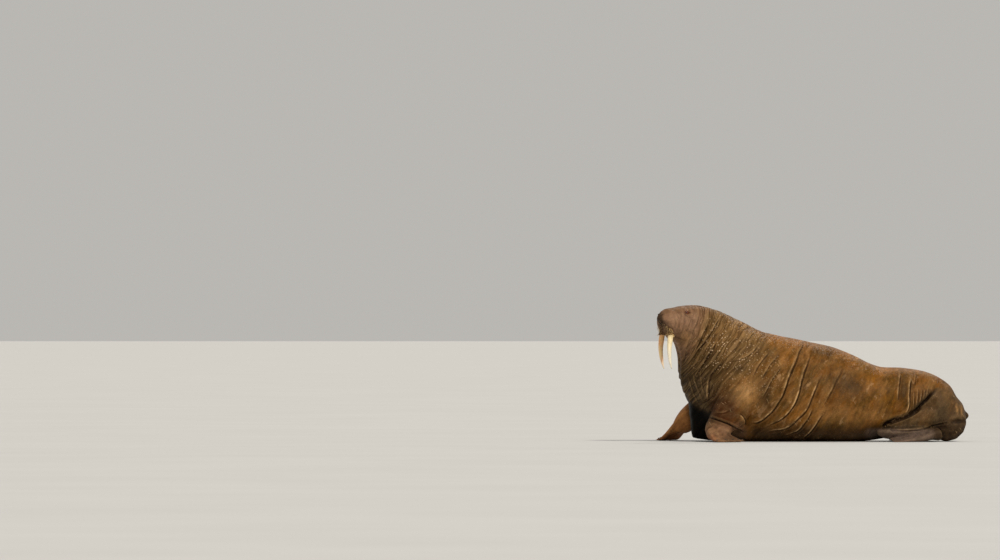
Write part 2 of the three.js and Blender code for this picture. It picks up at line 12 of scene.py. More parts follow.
import bmesh
import bpy
import numpy as np
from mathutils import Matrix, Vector


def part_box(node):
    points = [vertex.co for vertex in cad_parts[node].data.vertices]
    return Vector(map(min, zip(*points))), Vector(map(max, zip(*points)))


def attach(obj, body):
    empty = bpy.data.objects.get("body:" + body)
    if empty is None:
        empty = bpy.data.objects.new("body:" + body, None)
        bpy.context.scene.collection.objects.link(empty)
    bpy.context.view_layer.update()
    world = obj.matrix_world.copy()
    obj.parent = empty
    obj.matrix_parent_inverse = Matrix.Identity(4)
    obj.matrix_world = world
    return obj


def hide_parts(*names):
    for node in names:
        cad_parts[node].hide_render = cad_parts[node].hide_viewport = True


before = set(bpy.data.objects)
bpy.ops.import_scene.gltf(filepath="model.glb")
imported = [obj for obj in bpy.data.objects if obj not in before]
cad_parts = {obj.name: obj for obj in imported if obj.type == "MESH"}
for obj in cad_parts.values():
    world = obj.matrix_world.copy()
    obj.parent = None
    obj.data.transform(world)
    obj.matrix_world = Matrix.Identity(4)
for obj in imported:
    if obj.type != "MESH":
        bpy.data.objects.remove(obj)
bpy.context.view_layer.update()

SIDES = {"left": 1, "right": -1}
LIMBS = ["fore_arm", "fore_flipper", "hind_leg", "hind_flipper"]
FLESH = ["head", "muzzle_left", "muzzle_right", "lower_jaw", "neck", "torso_front", "torso_rear"]
FLESH += ["hindquarters", "tail"] + [f"{limb}_{side}" for limb in LIMBS for side in SIDES]


def centre_of(node):
    low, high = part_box(node)
    return (np.array(low) + np.array(high)) / 2


# %% [markdown]
# ## The line of the body
# The trunk of the solids is a row of sections, each laid between a point of the back and a point of
# the throat, chest or belly. The folds of the hide follow those sections, so the skin needs the same
# row: it says how far along the body a point lies, and how smooth flesh would run through it. The
# row is written about the middle of the tail, so one solid is enough to find its place.

# %% Sections of the trunk, from nose to rump
# Each is top x, top z, low x, low z, half width, sag towards the floor and squareness underneath.
SECTIONS = np.array([
    [-1.216, 1.102, -1.202, 0.890, 0.100, -0.06, 0.6],  # nose
    [-1.060, 1.125, -1.128, 0.814, 0.134, -0.12, 0.3],  # eyes
    [-0.912, 1.124, -1.092, 0.690, 0.172, -0.02, 0.1],  # crown
    [-0.775, 1.085, -1.084, 0.560, 0.236, 0.04, 0.0],  # nape
    [-0.604, 1.002, -1.060, 0.402, 0.314, 0.06, 0.0],  # neck
    [-0.425, 0.919, -0.966, 0.234, 0.384, 0.08, 0.1],  # shoulders
    [-0.230, 0.870, -0.800, 0.066, 0.430, 0.10, 0.3],  # breast
    [-0.035, 0.826, -0.545, -0.014, 0.448, 0.12, 0.5],  # chest
    [0.165, 0.780, -0.255, -0.016, 0.440, 0.13, 0.6],  # belly
    [0.365, 0.704, 0.020, -0.016, 0.412, 0.13, 0.6],  # flank
    [0.560, 0.622, 0.285, -0.016, 0.372, 0.10, 0.5],  # loin
    [0.765, 0.611, 0.505, 0.012, 0.336, 0.06, 0.4],  # hips
    [0.975, 0.567, 0.730, 0.044, 0.304, 0.02, 0.2],  # rump
    [1.142, 0.466, 0.960, 0.040, 0.254, 0.00, 0.1],  # croup
    [1.242, 0.330, 1.140, 0.036, 0.196, 0.00, 0.0],  # tail root
])
LAST = len(SECTIONS) - 1
HEAD_TURN = math.radians(27)
NOSE_CAP = 0.032  # how far the nose stands out before the first section
BOW = 0.062  # how far the sections of the chest curve back at half their height
TAIL = centre_of("tail")
TAIL_MIDDLE = np.array([1.268, 0.0])
SHIFT = np.append(TAIL[:2] - TAIL_MIDDLE, 0.0)
print("the row of sections is moved by", SHIFT.round(4))


def ease(x, low, high):
    """Rises smoothly from 0 at low to 1 at high."""
    t = np.clip((np.asarray(x, float) - low) / (high - low), 0, 1)
    return t * t * (3 - 2 * t)


def fall(x, low, high):
    """Falls smoothly from 1 at low to 0 at high."""
    return 1 - ease(x, low, high)


def bell(x, at, wide):
    """Is 1 at one value, and fades away on both sides of it over about the width."""
    return np.exp(-((x - at) / wide) ** 2)


def through(rows, u):
    """The smooth curve through rows of values, read at u rows from the first."""
    rows = np.asarray(rows, float)
    u = np.clip(np.asarray(u, float), 0, len(rows) - 1)
    first = np.minimum(u.astype(int), len(rows) - 2)
    t = (u - first)[..., None]
    padded = np.vstack([2 * rows[0] - rows[1], rows, 2 * rows[-1] - rows[-2]])
    before, start, end, after = (padded[first + k] for k in range(4))
    leave, arrive = (end - before) / 2, (after - start) / 2
    bend = 3 * (end - start) - 2 * leave - arrive
    return start + t * (leave + t * (bend + t * (leave + arrive - 2 * (end - start))))


# A fine ladder of sections, worked out once. The turned head carries the middle line sideways.
RUNGS = 281
LADDER = np.linspace(0, LAST, RUNGS)
table = through(SECTIONS, LADDER)
top, low = table[:, 0:2], table[:, 2:4]
turn = HEAD_TURN * fall(LADDER, 1.2, 5.2)
zero = np.zeros(RUNGS)
middle = np.stack([(top[:, 0] + low[:, 0]) / 2, zero, (top[:, 1] + low[:, 1]) / 2], 1)
travel = np.diff(middle[:, 0]) * np.tan(turn[1:])
middle[:-1, 1] = -np.cumsum(travel[::-1])[::-1]
middle += SHIFT
rise = np.stack([(top - low)[:, 0] / 2, zero, (top - low)[:, 1] / 2], 1)
leftward = np.stack([np.sin(turn), -np.cos(turn), zero], 1)
rearward = np.cross(rise, leftward)
rearward /= np.linalg.norm(rearward, axis=1)[:, None]
rearward *= np.sign(rearward[:, :1])
bow = BOW * ease(LADDER, 4, 7) * fall(LADDER, 9, 12)

NOSE = middle[0] + NOSE_CAP * np.array([-math.cos(HEAD_TURN), -math.sin(HEAD_TURN), 0])
HEAD_LEFT = leftward[0]
HEAD_BACK = np.array([math.cos(HEAD_TURN), math.sin(HEAD_TURN), 0])
print("tip of the nose", NOSE.round(3))


def head_point(back, side, up):
    """A place on the head: back from the nose, out to its left, and up from the floor."""
    place = NOSE + HEAD_BACK * back + HEAD_LEFT * side
    place[2] = up
    return place


def head_place(points):
    """The same three distances, back, side and up, read off any points."""
    away = points - NOSE
    return away @ HEAD_BACK, away @ HEAD_LEFT, points[:, 2]


def ladder_read(values, u):
    """Values that are known on every rung of the ladder, read at any counts u."""
    where = u / LAST * (RUNGS - 1)
    first = np.clip(where.astype(int), 0, RUNGS - 2)
    part = (where - first).reshape(-1, *[1] * (values.ndim - 1))
    return values[first] * (1 - part) + values[first + 1] * part


BATCH = 20000  # how many points are worked on at once, to save memory


def count_along(points):
    """How many sections from the nose each point lies, by the first section plane beyond it."""
    offset = np.einsum("ij,ij->i", middle, rearward)
    counts = np.empty(len(points))
    for start in range(0, len(points), BATCH):
        part = points[start:start + BATCH]
        ahead = part @ rearward.T - offset
        beyond = np.argmax(ahead < 0, axis=1)
        beyond[(ahead >= 0).all(axis=1)] = RUNGS - 1
        beyond = np.maximum(beyond, 1)
        row = np.arange(len(part))
        over, under = ahead[row, beyond - 1], ahead[row, beyond]
        share = np.clip(over / np.where(over == under, 1, over - under), 0, 1)
        counts[start:start + BATCH] = (beyond - 1 + share) / (RUNGS - 1) * LAST
    return counts


def section_place(points):
    """For every point: its count u, its height v and reach h in the section, from -1 to 1, its
    size, the share of the way from the section's middle to smooth skin, and the way from there."""
    u = count_along(points)
    straight = points.copy()
    for _ in range(2):
        spread = straight - ladder_read(middle, u)
        up = ladder_read(rise, u)
        v = np.clip((spread * up).sum(1) / (up * up).sum(1), -1.3, 1.3)
        straight = points.copy()
        straight[:, 0] -= ladder_read(bow, u) * (1 - np.clip(v, -1, 1) ** 2)
        u = count_along(straight)
    spread = straight - ladder_read(middle, u)
    up = ladder_read(rise, u)
    row = ladder_read(table, u)
    v = (spread * up).sum(1) / (up * up).sum(1)
    h = (spread * ladder_read(leftward, u)).sum(1) / row[:, 4]
    power = np.where(v < 0, 2 + row[:, 6], 2)
    swell = np.clip(1 - row[:, 5] * v, 0.3, 2)
    size = (np.abs(v) ** power + np.abs(h / swell) ** power) ** (1 / power)
    return u, v, h, size, spread


# %% [markdown]
# ## Small tools for meshes
# The skin is sculpted with arrays of numbers instead of strokes: read all corners of the mesh, move
# them, and write them back. A random height that changes smoothly over space is what clay gets from
# a sculptor's thumb, and a fixed lattice of numbers gives the same one at every run.

# %% Reading, writing and smoothing
def corners(mesh):
    """The places of all corners of a mesh, as rows of x, y and z."""
    data = np.empty(len(mesh.vertices) * 3)
    mesh.vertices.foreach_get("co", data)
    return data.reshape(-1, 3)


def put_corners(mesh, points):
    mesh.vertices.foreach_set("co", points.astype(np.float32).ravel())
    mesh.update()


def outward_normals(mesh):
    data = np.empty(len(mesh.vertices) * 3, np.float32)
    mesh.vertex_normals.foreach_get("vector", data)
    return data.reshape(-1, 3).astype(float)


def edge_pairs(mesh):
    data = np.empty(len(mesh.edges) * 2, np.int32)
    mesh.edges.foreach_get("vertices", data)
    return data.reshape(-1, 2)


def relax(values, pairs, rounds, strength=0.5, weight=None):
    """Draws every corner's value towards the mean of its neighbours, a number of times."""
    count = np.bincount(pairs.ravel(), minlength=len(values)).astype(float)
    pull = strength if weight is None else strength * weight[:, None]
    flat = values.reshape(len(values), -1)
    for _ in range(rounds):
        near = np.empty_like(flat)
        for axis in range(flat.shape[1]):
            near[:, axis] = np.bincount(pairs[:, 0], flat[pairs[:, 1], axis], len(flat))
            near[:, axis] += np.bincount(pairs[:, 1], flat[pairs[:, 0], axis], len(flat))
        flat = flat + pull * (near / count[:, None] - flat)
    return flat.reshape(values.shape)


def wander(points, cell, seed):
    """Smooth random heights from -1 to 1. Hills are about a cell apart in each direction."""
    place = points / np.asarray(cell, float) + seed * 17.31
    base = np.floor(place).astype(np.int64)
    part = place - base
    part = part * part * (3 - 2 * part)
    total = np.zeros(len(points))
    for corner in itertools.product((0, 1), repeat=3):
        at = base + np.array(corner)
        mixed = (at[:, 0] * 73856093) ^ (at[:, 1] * 19349663) ^ (at[:, 2] * 83492791)
        mixed = (mixed ^ (mixed >> 13)) * 1274126177 & 0x7FFFFFFF
        share = np.prod(np.where(np.array(corner) == 1, part, 1 - part), axis=1)
        total += share * (mixed / 0x3FFFFFFF - 1)
    return total


def new_piece(name, mesh):
    piece = bpy.data.objects.new(name, mesh)
    bpy.context.scene.collection.objects.link(piece)
    return piece


def finished(piece):
    """The piece with its modifiers applied, as a plain mesh."""
    graph = bpy.context.evaluated_depsgraph_get()
    mesh = bpy.data.meshes.new_from_object(piece.evaluated_get(graph))
    name = piece.name
    bpy.data.objects.remove(piece)
    mesh.name = name
    return new_piece(name, mesh)


def shade_smooth(mesh):
    mesh.polygons.foreach_set("use_smooth", np.ones(len(mesh.polygons), bool))
    mesh.update()


def mesh_of(name, points, faces):
    mesh = bpy.data.meshes.new(name)
    mesh.from_pydata([tuple(p) for p in points], [], faces)
    shade_smooth(mesh)
    return mesh


# %% [markdown]
# ## One skin over the flesh
# A walrus shows no joints between head, neck and limbs, so its skin is one piece. Subdividing the
# solids would keep their seams. Remeshing them together as voxels melts the thin gaps shut and gives
# an even net of small faces to sculpt. The sockets of tusks and eyes are plugged first, so that the
# skin closes round them.

# %% Joining the solids
VOXEL = 0.0052
GUM = 0.882  # the height where the tusks leave the lip
GUM_SWELL = 1.18  # how much thicker than the tusk the gum round it is
EYE_RADIUS = 0.023
EYE_PLUG = 0.0245
HEEL_AHEAD, HEEL_OUT, HEEL_BELOW = 0.06, 0.03, 0.155  # from the middle of a hind leg
HEEL_REACH = (0.25, 0.12, 0.060)
HEAD_END = head_point(0.30, 0, 0)[0]
HEAD_FLOOR = 0.8  # the height above which everything before HEAD_END is head


def eye_centre(side):
    return centre_of("eye_" + side)


def tusk_plug(side):
    """Fills a tusk's socket down to the lip, a little swollen, as the gum is."""
    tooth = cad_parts["tusk_" + side].data.copy()
    points = corners(tooth)
    root = points[points[:, 2] > GUM - 0.02, :2].mean(0)
    points[:, :2] = root + (points[:, :2] - root) * GUM_SWELL
    points[:, 2] = np.maximum(points[:, 2], GUM)
    put_corners(tooth, points)
    return new_piece("tusk plug", tooth)


def eye_plug(side):
    bpy.ops.mesh.primitive_uv_sphere_add(radius=EYE_PLUG, location=eye_centre(side))
    return bpy.context.object


def heel_plug(side):
    """Fills the hollow between a hind leg and the flipper folded under it."""
    bpy.ops.mesh.primitive_uv_sphere_add(radius=1)
    heel = bpy.context.object
    place = centre_of("hind_leg_" + side) - (HEEL_AHEAD, HEEL_OUT * SIDES[side], HEEL_BELOW)
    put_corners(heel.data, corners(heel.data) * HEEL_REACH + place)
    return heel


def rough_skin():
    """All the flesh and its plugs, melted together into one even net."""
    parts = [new_piece(n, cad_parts[n].data.copy()) for n in FLESH]
    parts += [plug(side) for side in SIDES for plug in (tusk_plug, eye_plug, heel_plug)]
    bpy.ops.object.select_all(action="DESELECT")
    for part in parts:
        part.select_set(True)
    bpy.context.view_layer.objects.active = parts[0]
    bpy.ops.object.join()
    skin = bpy.context.object
    skin.name = "skin"
    modifier = skin.modifiers.new("even net", "REMESH")
    modifier.mode = "VOXEL"
    modifier.voxel_size = VOXEL
    return finished(skin)


def keep_largest(net):
    """Deletes every island of a net but the largest, so that nothing loose is left inside."""
    unseen = set(net.verts)
    largest = []
    while unseen:
        island, edge = [], [unseen.pop()]
        while edge:
            vert = edge.pop()
            island.append(vert)
            for link in vert.link_edges:
                other = link.other_vert(vert)
                if other in unseen:
                    unseen.remove(other)
                    edge.append(other)
        if len(island) > len(largest):
            largest = island
    keep = set(largest)
    bmesh.ops.delete(net, geom=[v for v in net.verts if v not in keep], context="VERTS")


def on_head(place):
    return place.x < HEAD_END and place.z > HEAD_FLOOR


def finer_head(net):
    """Cuts the faces of the head in four, because its forms are the smallest."""
    edges = list({e for f in net.faces if on_head(f.calc_center_median()) for e in f.edges})
    bmesh.ops.subdivide_edges(net, edges=edges, cuts=1, use_grid_fill=True)


skin = rough_skin()
net = bmesh.new()
net.from_mesh(skin.data)
keep_largest(net)
finer_head(net)
net.to_mesh(skin.data)
net.free()
print("rough skin has", len(skin.data.vertices), "corners")

# %% [markdown]
# ## Smooth flesh first
# The solids are faceted, and no sculptor starts on facets. Where a corner lies near the smooth
# sections of the trunk it is laid exactly on them. Limbs, lips and rump have no such rule, so they
# are only relaxed, the face least of all.

# %% Laying the skin on smooth sections
points = corners(skin.data)
pairs = edge_pairs(skin.data)
points = relax(points, pairs, 8)
u, v, h, size, spread = section_place(points)
on_trunk = fall(np.abs(size - 1), 0.035, 0.08) * ease(u, 0.35, 0.8) * fall(u, 12.6, 13.5)
points = points - spread * ((1 - 1 / size) * on_trunk)[:, None]
back, side_way, up = head_place(points)
face = fall(back, 0.22, 0.34)
sole = fall(points[:, 2], 0.05, 0.16)
loose = (1 - on_trunk) * (1 - 0.75 * face) * (1 - 0.75 * sole)
loose *= ease(np.linalg.norm(points - TAIL, axis=1), 0.04, 0.09) * 0.85 + 0.15
points = relax(points, pairs, 34, weight=loose)
points = relax(points, pairs, 3)
print("corners on the smooth trunk:", int((on_trunk > 0.5).sum()))

# %% Muzzle, rump and tail
# Relaxing has thinned the short tail, so it is swollen again. Then the dents of the muzzle, of the
# rump and round the tail are filled.
def fill_hollows(points, pairs, weight, rounds):
    """Lifts the floor of every dent by the weight, and lets nothing sink."""
    for _ in range(rounds):
        put_corners(skin.data, points)
        normals = outward_normals(skin.data)
        rise = ((relax(points, pairs, 6) - points) * normals).sum(1)
        points = points + normals * (np.maximum(rise, 0) * weight)[:, None]
    return points


TAIL_REACH = (0.055, 0.060, 0.034)
tail_gap = (points - TAIL) / TAIL_REACH
points[:, 2] += (points - TAIL)[:, 2] * 0.7 * np.exp(-(tail_gap ** 2).sum(1))
back, side_way, up = head_place(points)
snout = fall(back, 0.04, 0.09) * ease(up, 0.91, 0.95) * fall(up, 1.08, 1.12)
stern = ease(points[:, 0] - SHIFT[0], 0.56, 0.68) * fall(points[:, 2], 0.19, 0.25)
root_of_tail = fall(np.linalg.norm(points - TAIL, axis=1), 0.09, 0.13)
dented = np.maximum(np.maximum(snout, 0.7 * stern), root_of_tail)
points = fill_hollows(points, pairs, dented, 24)

# %% The chest between the fore limbs
# The loose hide hangs down there, almost to the floor.
CHEST_MIDDLE = 0.03  # its place from side to side, on the row of sections
CHEST_DROP = 0.90  # the share of its height above the floor that it loses
x, y = points[:, 0] - SHIFT[0], points[:, 1] - SHIFT[1]
brisket = ease(x, -1.035, -0.99) * fall(x, -0.78, -0.68)
brisket = brisket * fall(np.abs(y - CHEST_MIDDLE), 0.12, 0.24)
brisket *= on_trunk * fall(points[:, 2], 0.26, 0.44)
points[:, 2] *= 1 - CHEST_DROP * brisket
points = relax(points, pairs, 16, weight=np.clip(3 * brisket, 0, 1))
print("corners on the hanging chest:", int((brisket > 0.5).sum()))

# %% Fuller muzzle and throat, and the slope of the rump
# The front of the muzzle is one full curve, the throat is a little fuller, and the rump slopes down
# to a swelling round the root of the tail.
MUZZLE_SWELL, THROAT_SWELL = 0.021, 0.014
RUMP_SWELL, RUMP_HOLLOW = 0.034, 0.016
RUMP_MIDDLE = 0.053
x, y, z = (points - SHIFT).T
back, side_way, up = head_place(points)
full = MUZZLE_SWELL * bell(up, 1.0, 0.045) * fall(back, 0.05, 0.11)
points = points + outward_normals(skin.data) * full[:, None]
throat = bell(z, 0.52, 0.14) * ease(-x, 0.97, 1.05) * fall(np.abs(y), 0.2, 0.3)
points[:, 0] -= THROAT_SWELL * throat
rump = ease(x, 1.08, 1.16) * bell(y, RUMP_MIDDLE, 0.16) * fall(x, 1.255, 1.29)
points[:, 0] += rump * (RUMP_SWELL * bell(z, 0.205, 0.055) - RUMP_HOLLOW * bell(z, 0.36, 0.07))
points = relax(points, pairs, 10, weight=ease(x, 1.16, 1.20) * bell(z, 0.215, 0.05))
put_corners(skin.data, points)
print("the muzzle is at most", round(float(full.max()), 3), "m fuller")

# %% [markdown]
# ## Folds of the hide
# A walrus hide is several centimetres thick, and it creases where the animal bends: in rings round
# the neck, in long arcs behind the shoulder and in pleats at the hip. The ring folds repeat the
# solids'. The long creases are drawn on the side view, each as a line of a few points on the flank,
# pressed in beside a swollen lip, and mirrored to the far side a little changed.

# %% Ring folds, as the solids have them
# Section count, depth, width, and the degrees round from the back where the fold starts and ends.
RING_FOLDS = [
    (2.35, 0.004, 0.014, 30, 130), (2.75, 0.005, 0.016, 20, 150), (3.15, 0.006, 0.016, 40, 170),
    (3.55, 0.007, 0.017, 60, 180), (3.95, 0.008, 0.018, 70, 180), (4.4, 0.009, 0.019, 75, 180),
    (4.95, 0.009, 0.020, 85, 180), (5.5, 0.007, 0.022, 90, 180), (7.0, 0.006, 0.022, 20, 60),
    (7.85, 0.006, 0.024, 20, 70), (10.95, 0.006, 0.020, 10, 60), (11.4, 0.006, 0.020, 8, 55),
]
section_step = np.linalg.norm(np.gradient(middle, LADDER, axis=0), axis=1)


def fold_across(away):
    """A lapped fold's depth across it: a rolled lip before 0, a narrow furrow, then a slow rise."""
    lip = bell(away, -1.2, 1.0)
    furrow = bell(away, 0.35, 0.6)
    rise = bell(away, 2.3, 2.2)
    return 0.80 * furrow + 0.45 * rise - 0.26 * lip


def ring_folds(points, u, v, h):
    round_way = np.degrees(np.arctan2(np.abs(h), v))
    step = ladder_read(section_step, u)
    crooked = 0.012 * wander(points, 0.11, 5) + 0.004 * wander(points, 0.03, 6)
    depth = np.zeros(len(points))
    for at, deep, wide, start, end in RING_FOLDS:
        away = ((u - at) * step + crooked) / wide
        fade = ease(round_way, start - 10, start + 25)
        if end < 180:
            fade = fade * fall(round_way, end - 20, end + 15)
        depth += deep * fade * fold_across(away)
    return depth


# %% Long creases, drawn on the side view
# Each is a name, depth, width, and points from its upper end as x, z before the row's shift. The
# lips of four of them get only a faint painted highlight.
DARK_ONLY = ["sole crease", "wrist crease", "groin crease", "jowl crease"]
CREASES = [
    ("long neck crease", 0.016, 0.009,
     [(-0.755, 1.050), (-0.812, 0.955), (-0.862, 0.875), (-0.915, 0.800), (-0.968, 0.735),
      (-1.055, 0.615)]),
    ("inner neck crease", 0.009, 0.008,
     [(-0.865, 0.975), (-0.905, 0.905), (-0.932, 0.840), (-0.985, 0.720)]),
    ("lower neck crease", 0.011, 0.009,
     [(-0.800, 0.830), (-0.855, 0.745), (-0.918, 0.635), (-0.990, 0.510)]),
    ("cheek crease", 0.003, 0.007, [(-0.935, 1.055), (-0.955, 0.990), (-0.990, 0.920), (-1.030, 0.800)]),
    ("fore cheek crease", 0.002, 0.007, [(-1.000, 1.040), (-1.030, 0.960), (-1.065, 0.880)]),
    ("throat crease", 0.003, 0.008, [(-1.010, 0.880), (-1.040, 0.800), (-1.055, 0.720), (-1.075, 0.630)]),
    ("jowl crease", 0.003, 0.011, [(-1.060, 0.840), (-1.110, 0.860), (-1.165, 0.885)]),
    ("chest pleat", 0.003, 0.009, [(-1.030, 0.560), (-1.010, 0.480), (-0.980, 0.390), (-0.940, 0.310)]),
    ("second chest pleat", 0.003, 0.009,
     [(-0.990, 0.600), (-0.975, 0.510), (-0.945, 0.420), (-0.905, 0.330)]),
    ("third chest pleat", 0.003, 0.009,
     [(-0.925, 0.620), (-0.928, 0.530), (-0.915, 0.450), (-0.885, 0.350)]),
    ("shoulder edge", 0.011, 0.012,
     [(-0.735, 0.668), (-0.800, 0.610), (-0.858, 0.530), (-0.872, 0.430), (-0.868, 0.330)]),
    ("shoulder crease", 0.006, 0.010,
     [(-0.460, 0.800), (-0.500, 0.740), (-0.560, 0.700), (-0.690, 0.660)]),
    ("blade crease", 0.006, 0.009, [(-0.360, 0.745), (-0.405, 0.690), (-0.450, 0.630), (-0.515, 0.520)]),
    ("second blade crease", 0.006, 0.008,
     [(-0.275, 0.735), (-0.320, 0.675), (-0.375, 0.610), (-0.440, 0.510)]),
    ("third blade crease", 0.006, 0.008,
     [(-0.265, 0.620), (-0.305, 0.560), (-0.355, 0.500), (-0.440, 0.330)]),
    ("rib crease", 0.007, 0.009, [(-0.065, 0.825), (-0.115, 0.740), (-0.165, 0.640), (-0.215, 0.520)]),
    ("first flank fold", 0.019, 0.012,
     [(-0.080, 0.800), (-0.135, 0.690), (-0.192, 0.560), (-0.225, 0.460), (-0.275, 0.350),
      (-0.345, 0.250), (-0.440, 0.170), (-0.520, 0.150)]),
    ("second flank fold", 0.017, 0.012,
     [(-0.005, 0.760), (-0.060, 0.620), (-0.100, 0.500), (-0.130, 0.390), (-0.180, 0.280),
      (-0.270, 0.185), (-0.420, 0.115)]),
    ("third flank fold", 0.013, 0.012,
     [(0.055, 0.540), (0.010, 0.420), (-0.055, 0.270), (-0.150, 0.165), (-0.250, 0.105),
      (-0.390, 0.080)]),
    ("fourth flank fold", 0.011, 0.011,
     [(0.000, 0.290), (-0.060, 0.170), (-0.140, 0.085), (-0.240, 0.050)]),
    ("belly fold", 0.011, 0.011, [(0.075, 0.240), (0.015, 0.135), (-0.040, 0.060), (-0.080, 0.020)]),
    ("faint flank fold", 0.005, 0.013, [(0.245, 0.610), (0.195, 0.510), (0.140, 0.400), (0.075, 0.290)]),
    ("hip fold", 0.009, 0.008, [(0.733, 0.585), (0.722, 0.510), (0.708, 0.430), (0.702, 0.330)]),
    ("second hip fold", 0.013, 0.009,
     [(0.822, 0.545), (0.808, 0.470), (0.800, 0.380), (0.796, 0.290), (0.765, 0.220)]),
    ("short hip fold", 0.005, 0.007, [(0.865, 0.565), (0.850, 0.515), (0.842, 0.460)]),
    ("first pleat", 0.006, 0.006, [(0.838, 0.420), (0.838, 0.350), (0.832, 0.265)]),
    ("second pleat", 0.007, 0.006, [(0.868, 0.440), (0.866, 0.370), (0.860, 0.290)]),
    ("third pleat", 0.007, 0.006, [(0.900, 0.435), (0.896, 0.375), (0.888, 0.315)]),
    ("fourth pleat", 0.006, 0.006, [(0.930, 0.440), (0.925, 0.385), (0.917, 0.345)]),
    ("fifth pleat", 0.005, 0.006, [(0.962, 0.445), (0.956, 0.410), (0.948, 0.375)]),
    ("groin crease", 0.036, 0.020,
     [(1.025, 0.450), (0.967, 0.385), (0.927, 0.340), (0.880, 0.292), (0.800, 0.236), (0.700, 0.195),
      (0.600, 0.155), (0.560, 0.100)]),
    ("sole crease", 0.012, 0.010,
     [(1.120, 0.165), (1.030, 0.142), (0.940, 0.116), (0.800, 0.098), (0.620, 0.100)]),
    ("wrist crease", 0.016, 0.010,
     [(-0.570, 0.085), (-0.610, 0.105), (-0.660, 0.130), (-0.720, 0.158), (-0.800, 0.186),
      (-0.890, 0.215)]),
    ("elbow crease", 0.002, 0.012,
     [(-0.640, 0.300), (-0.690, 0.262), (-0.750, 0.240), (-0.820, 0.236)]),
    ("armpit crease", 0.009, 0.009,
     [(-0.615, 0.235), (-0.580, 0.205), (-0.562, 0.165), (-0.575, 0.130)]),
]
FAR_SIDE_DRIFT = np.array([0.014, -0.006])


def along_creases(points, normals):
    """For every crease, on both sides: its depth, the corners near it, how far across it they lie in
    widths, negative on the lip's side, how strong it is there, and how much painted highlight its lip gets."""
    left = ladder_read(leftward, count_along(points))
    facing = (normals * left).sum(1)
    wobble = np.stack([wander(points, 0.09, 11), wander(points, 0.09, 12)], 1) * 0.005
    flat = points[:, [0, 2]] + wobble - SHIFT[[0, 2]]
    for number, (name, deep, wide, line) in enumerate(CREASES):
        # How much painted highlight this crease's lip gets.
        rubbing_and_highlight = 0.15 if name in DARK_ONLY else 1.0
        line = through(line, np.linspace(0, len(line) - 1, 8 * (len(line) - 1) + 1))
        for side in (1, -1):
            drawn = line if side == 1 else line + FAR_SIDE_DRIFT * math.sin(number * 2.3)
            reach = 6 * wide
            near = (flat > drawn.min(0) - reach).all(1) & (flat < drawn.max(0) + reach).all(1)
            near &= facing * side > 0.05
            index = np.nonzero(near)[0]
            if not len(index):
                continue
            start, way = drawn[:-1], np.diff(drawn, axis=0)
            span = (way ** 2).sum(1)
            away = flat[index][:, None] - start
            t = np.clip((away * way).sum(2) / span, 0, 1)
            gap = away - t[..., None] * way
            distance = np.linalg.norm(gap, axis=2)
            best = distance.argmin(1)
            row = np.arange(len(index))
            across = way[best][:, 0] * gap[row, best, 1] - way[best][:, 1] * gap[row, best, 0]
            signed = distance[row, best] * np.sign(across) / wide
            share = (best + t[row, best]) / len(way)
            taper = ease(share, 0, 0.22) * fall(share, 0.78, 1.0)
            grip = ease(facing[index] * side, 0.08, 0.4)
            yield deep, index, signed, taper * grip, rubbing_and_highlight


def crease_depth(points, normals):
    depth = np.zeros(len(points))
    for deep, index, across, strength, _ in along_creases(points, normals):
        depth[index] += deep * strength * fold_across(across)
    return depth


# %% Pressing them in, with the soft unevenness of the flesh
def lying(points, u):
    """Where a point lies in the grain of the hide: metres along the body, then its own y and z."""
    return np.stack([u * 0.2, points[:, 1], points[:, 2]], 1)


WRINKLE_DEPTH = 0.0052


def wrinkles(points, u):
    """Shallow wrinkles in line with the ring folds, on the neck, behind the shoulder and at the hip."""
    grain = lying(points, u + 0.10 * wander(points, 0.3, 31))
    lines = 1 - np.abs(wander(grain, (0.042, 0.26, 0.26), 32))
    neck = ease(u, 1.6, 3.0) * fall(u, 5.0, 6.0)
    flank = 0.45 * ease(u, 5.0, 6.5) * fall(u, 8.2, 9.2)
    hip = 0.35 * ease(u, 10.3, 11) * fall(u, 12.2, 13)
    patchy = 0.5 + 0.5 * wander(points, 0.16, 34)
    return (neck + flank + hip) * patchy * WRINKLE_DEPTH * lines ** 6


HEEL_DENT = {"at": (1.205, -0.20, 0.168), "reach": (0.050, 0.10, 0.020), "depth": 0.014}
normals = outward_normals(skin.data)
u, v, h = section_place(points)[:3]
calm = 1 - 0.85 * face
depth = 0.7 * ring_folds(points, u, v, h) * on_trunk
depth += crease_depth(points, normals)
arm = fall(points[:, 0] - SHIFT[0], -0.58, -0.50) * fall(points[:, 2], 0.28, 0.42)
depth += wrinkles(points, u) * calm * (1 - 0.7 * sole) * (1 - arm)
heel_gap = np.linalg.norm((points - SHIFT - HEEL_DENT["at"]) / HEEL_DENT["reach"], axis=1)
depth += HEEL_DENT["depth"] * np.exp(-heel_gap ** 2)
depth -= (0.006 * wander(points, 0.28, 1) + 0.0028 * wander(points, 0.1, 2)) * calm * (1 - sole)
points = points - normals * depth[:, None]
points = relax(points, pairs, 1)
print("deepest fold", round(float(depth.max()), 4), "m")

# %% [markdown]
# ## The face
# The eyes of a walrus are small and stand out of the sides of the head between thick lids. Each
# opening is a low almond: inside it the skin sinks behind the eyeball, round it a lid swells, and
# past that a crease and a bag follow. Lips get a groove between the two whisker pads.

# %% Lids, brows and lips
ALMOND = {"long": 0.0265, "high": 0.0140}
BROW_HEIGHT, NOSTRIL_HEIGHT, NOSTRIL_OUT = 1.105, 1.046, 0.026


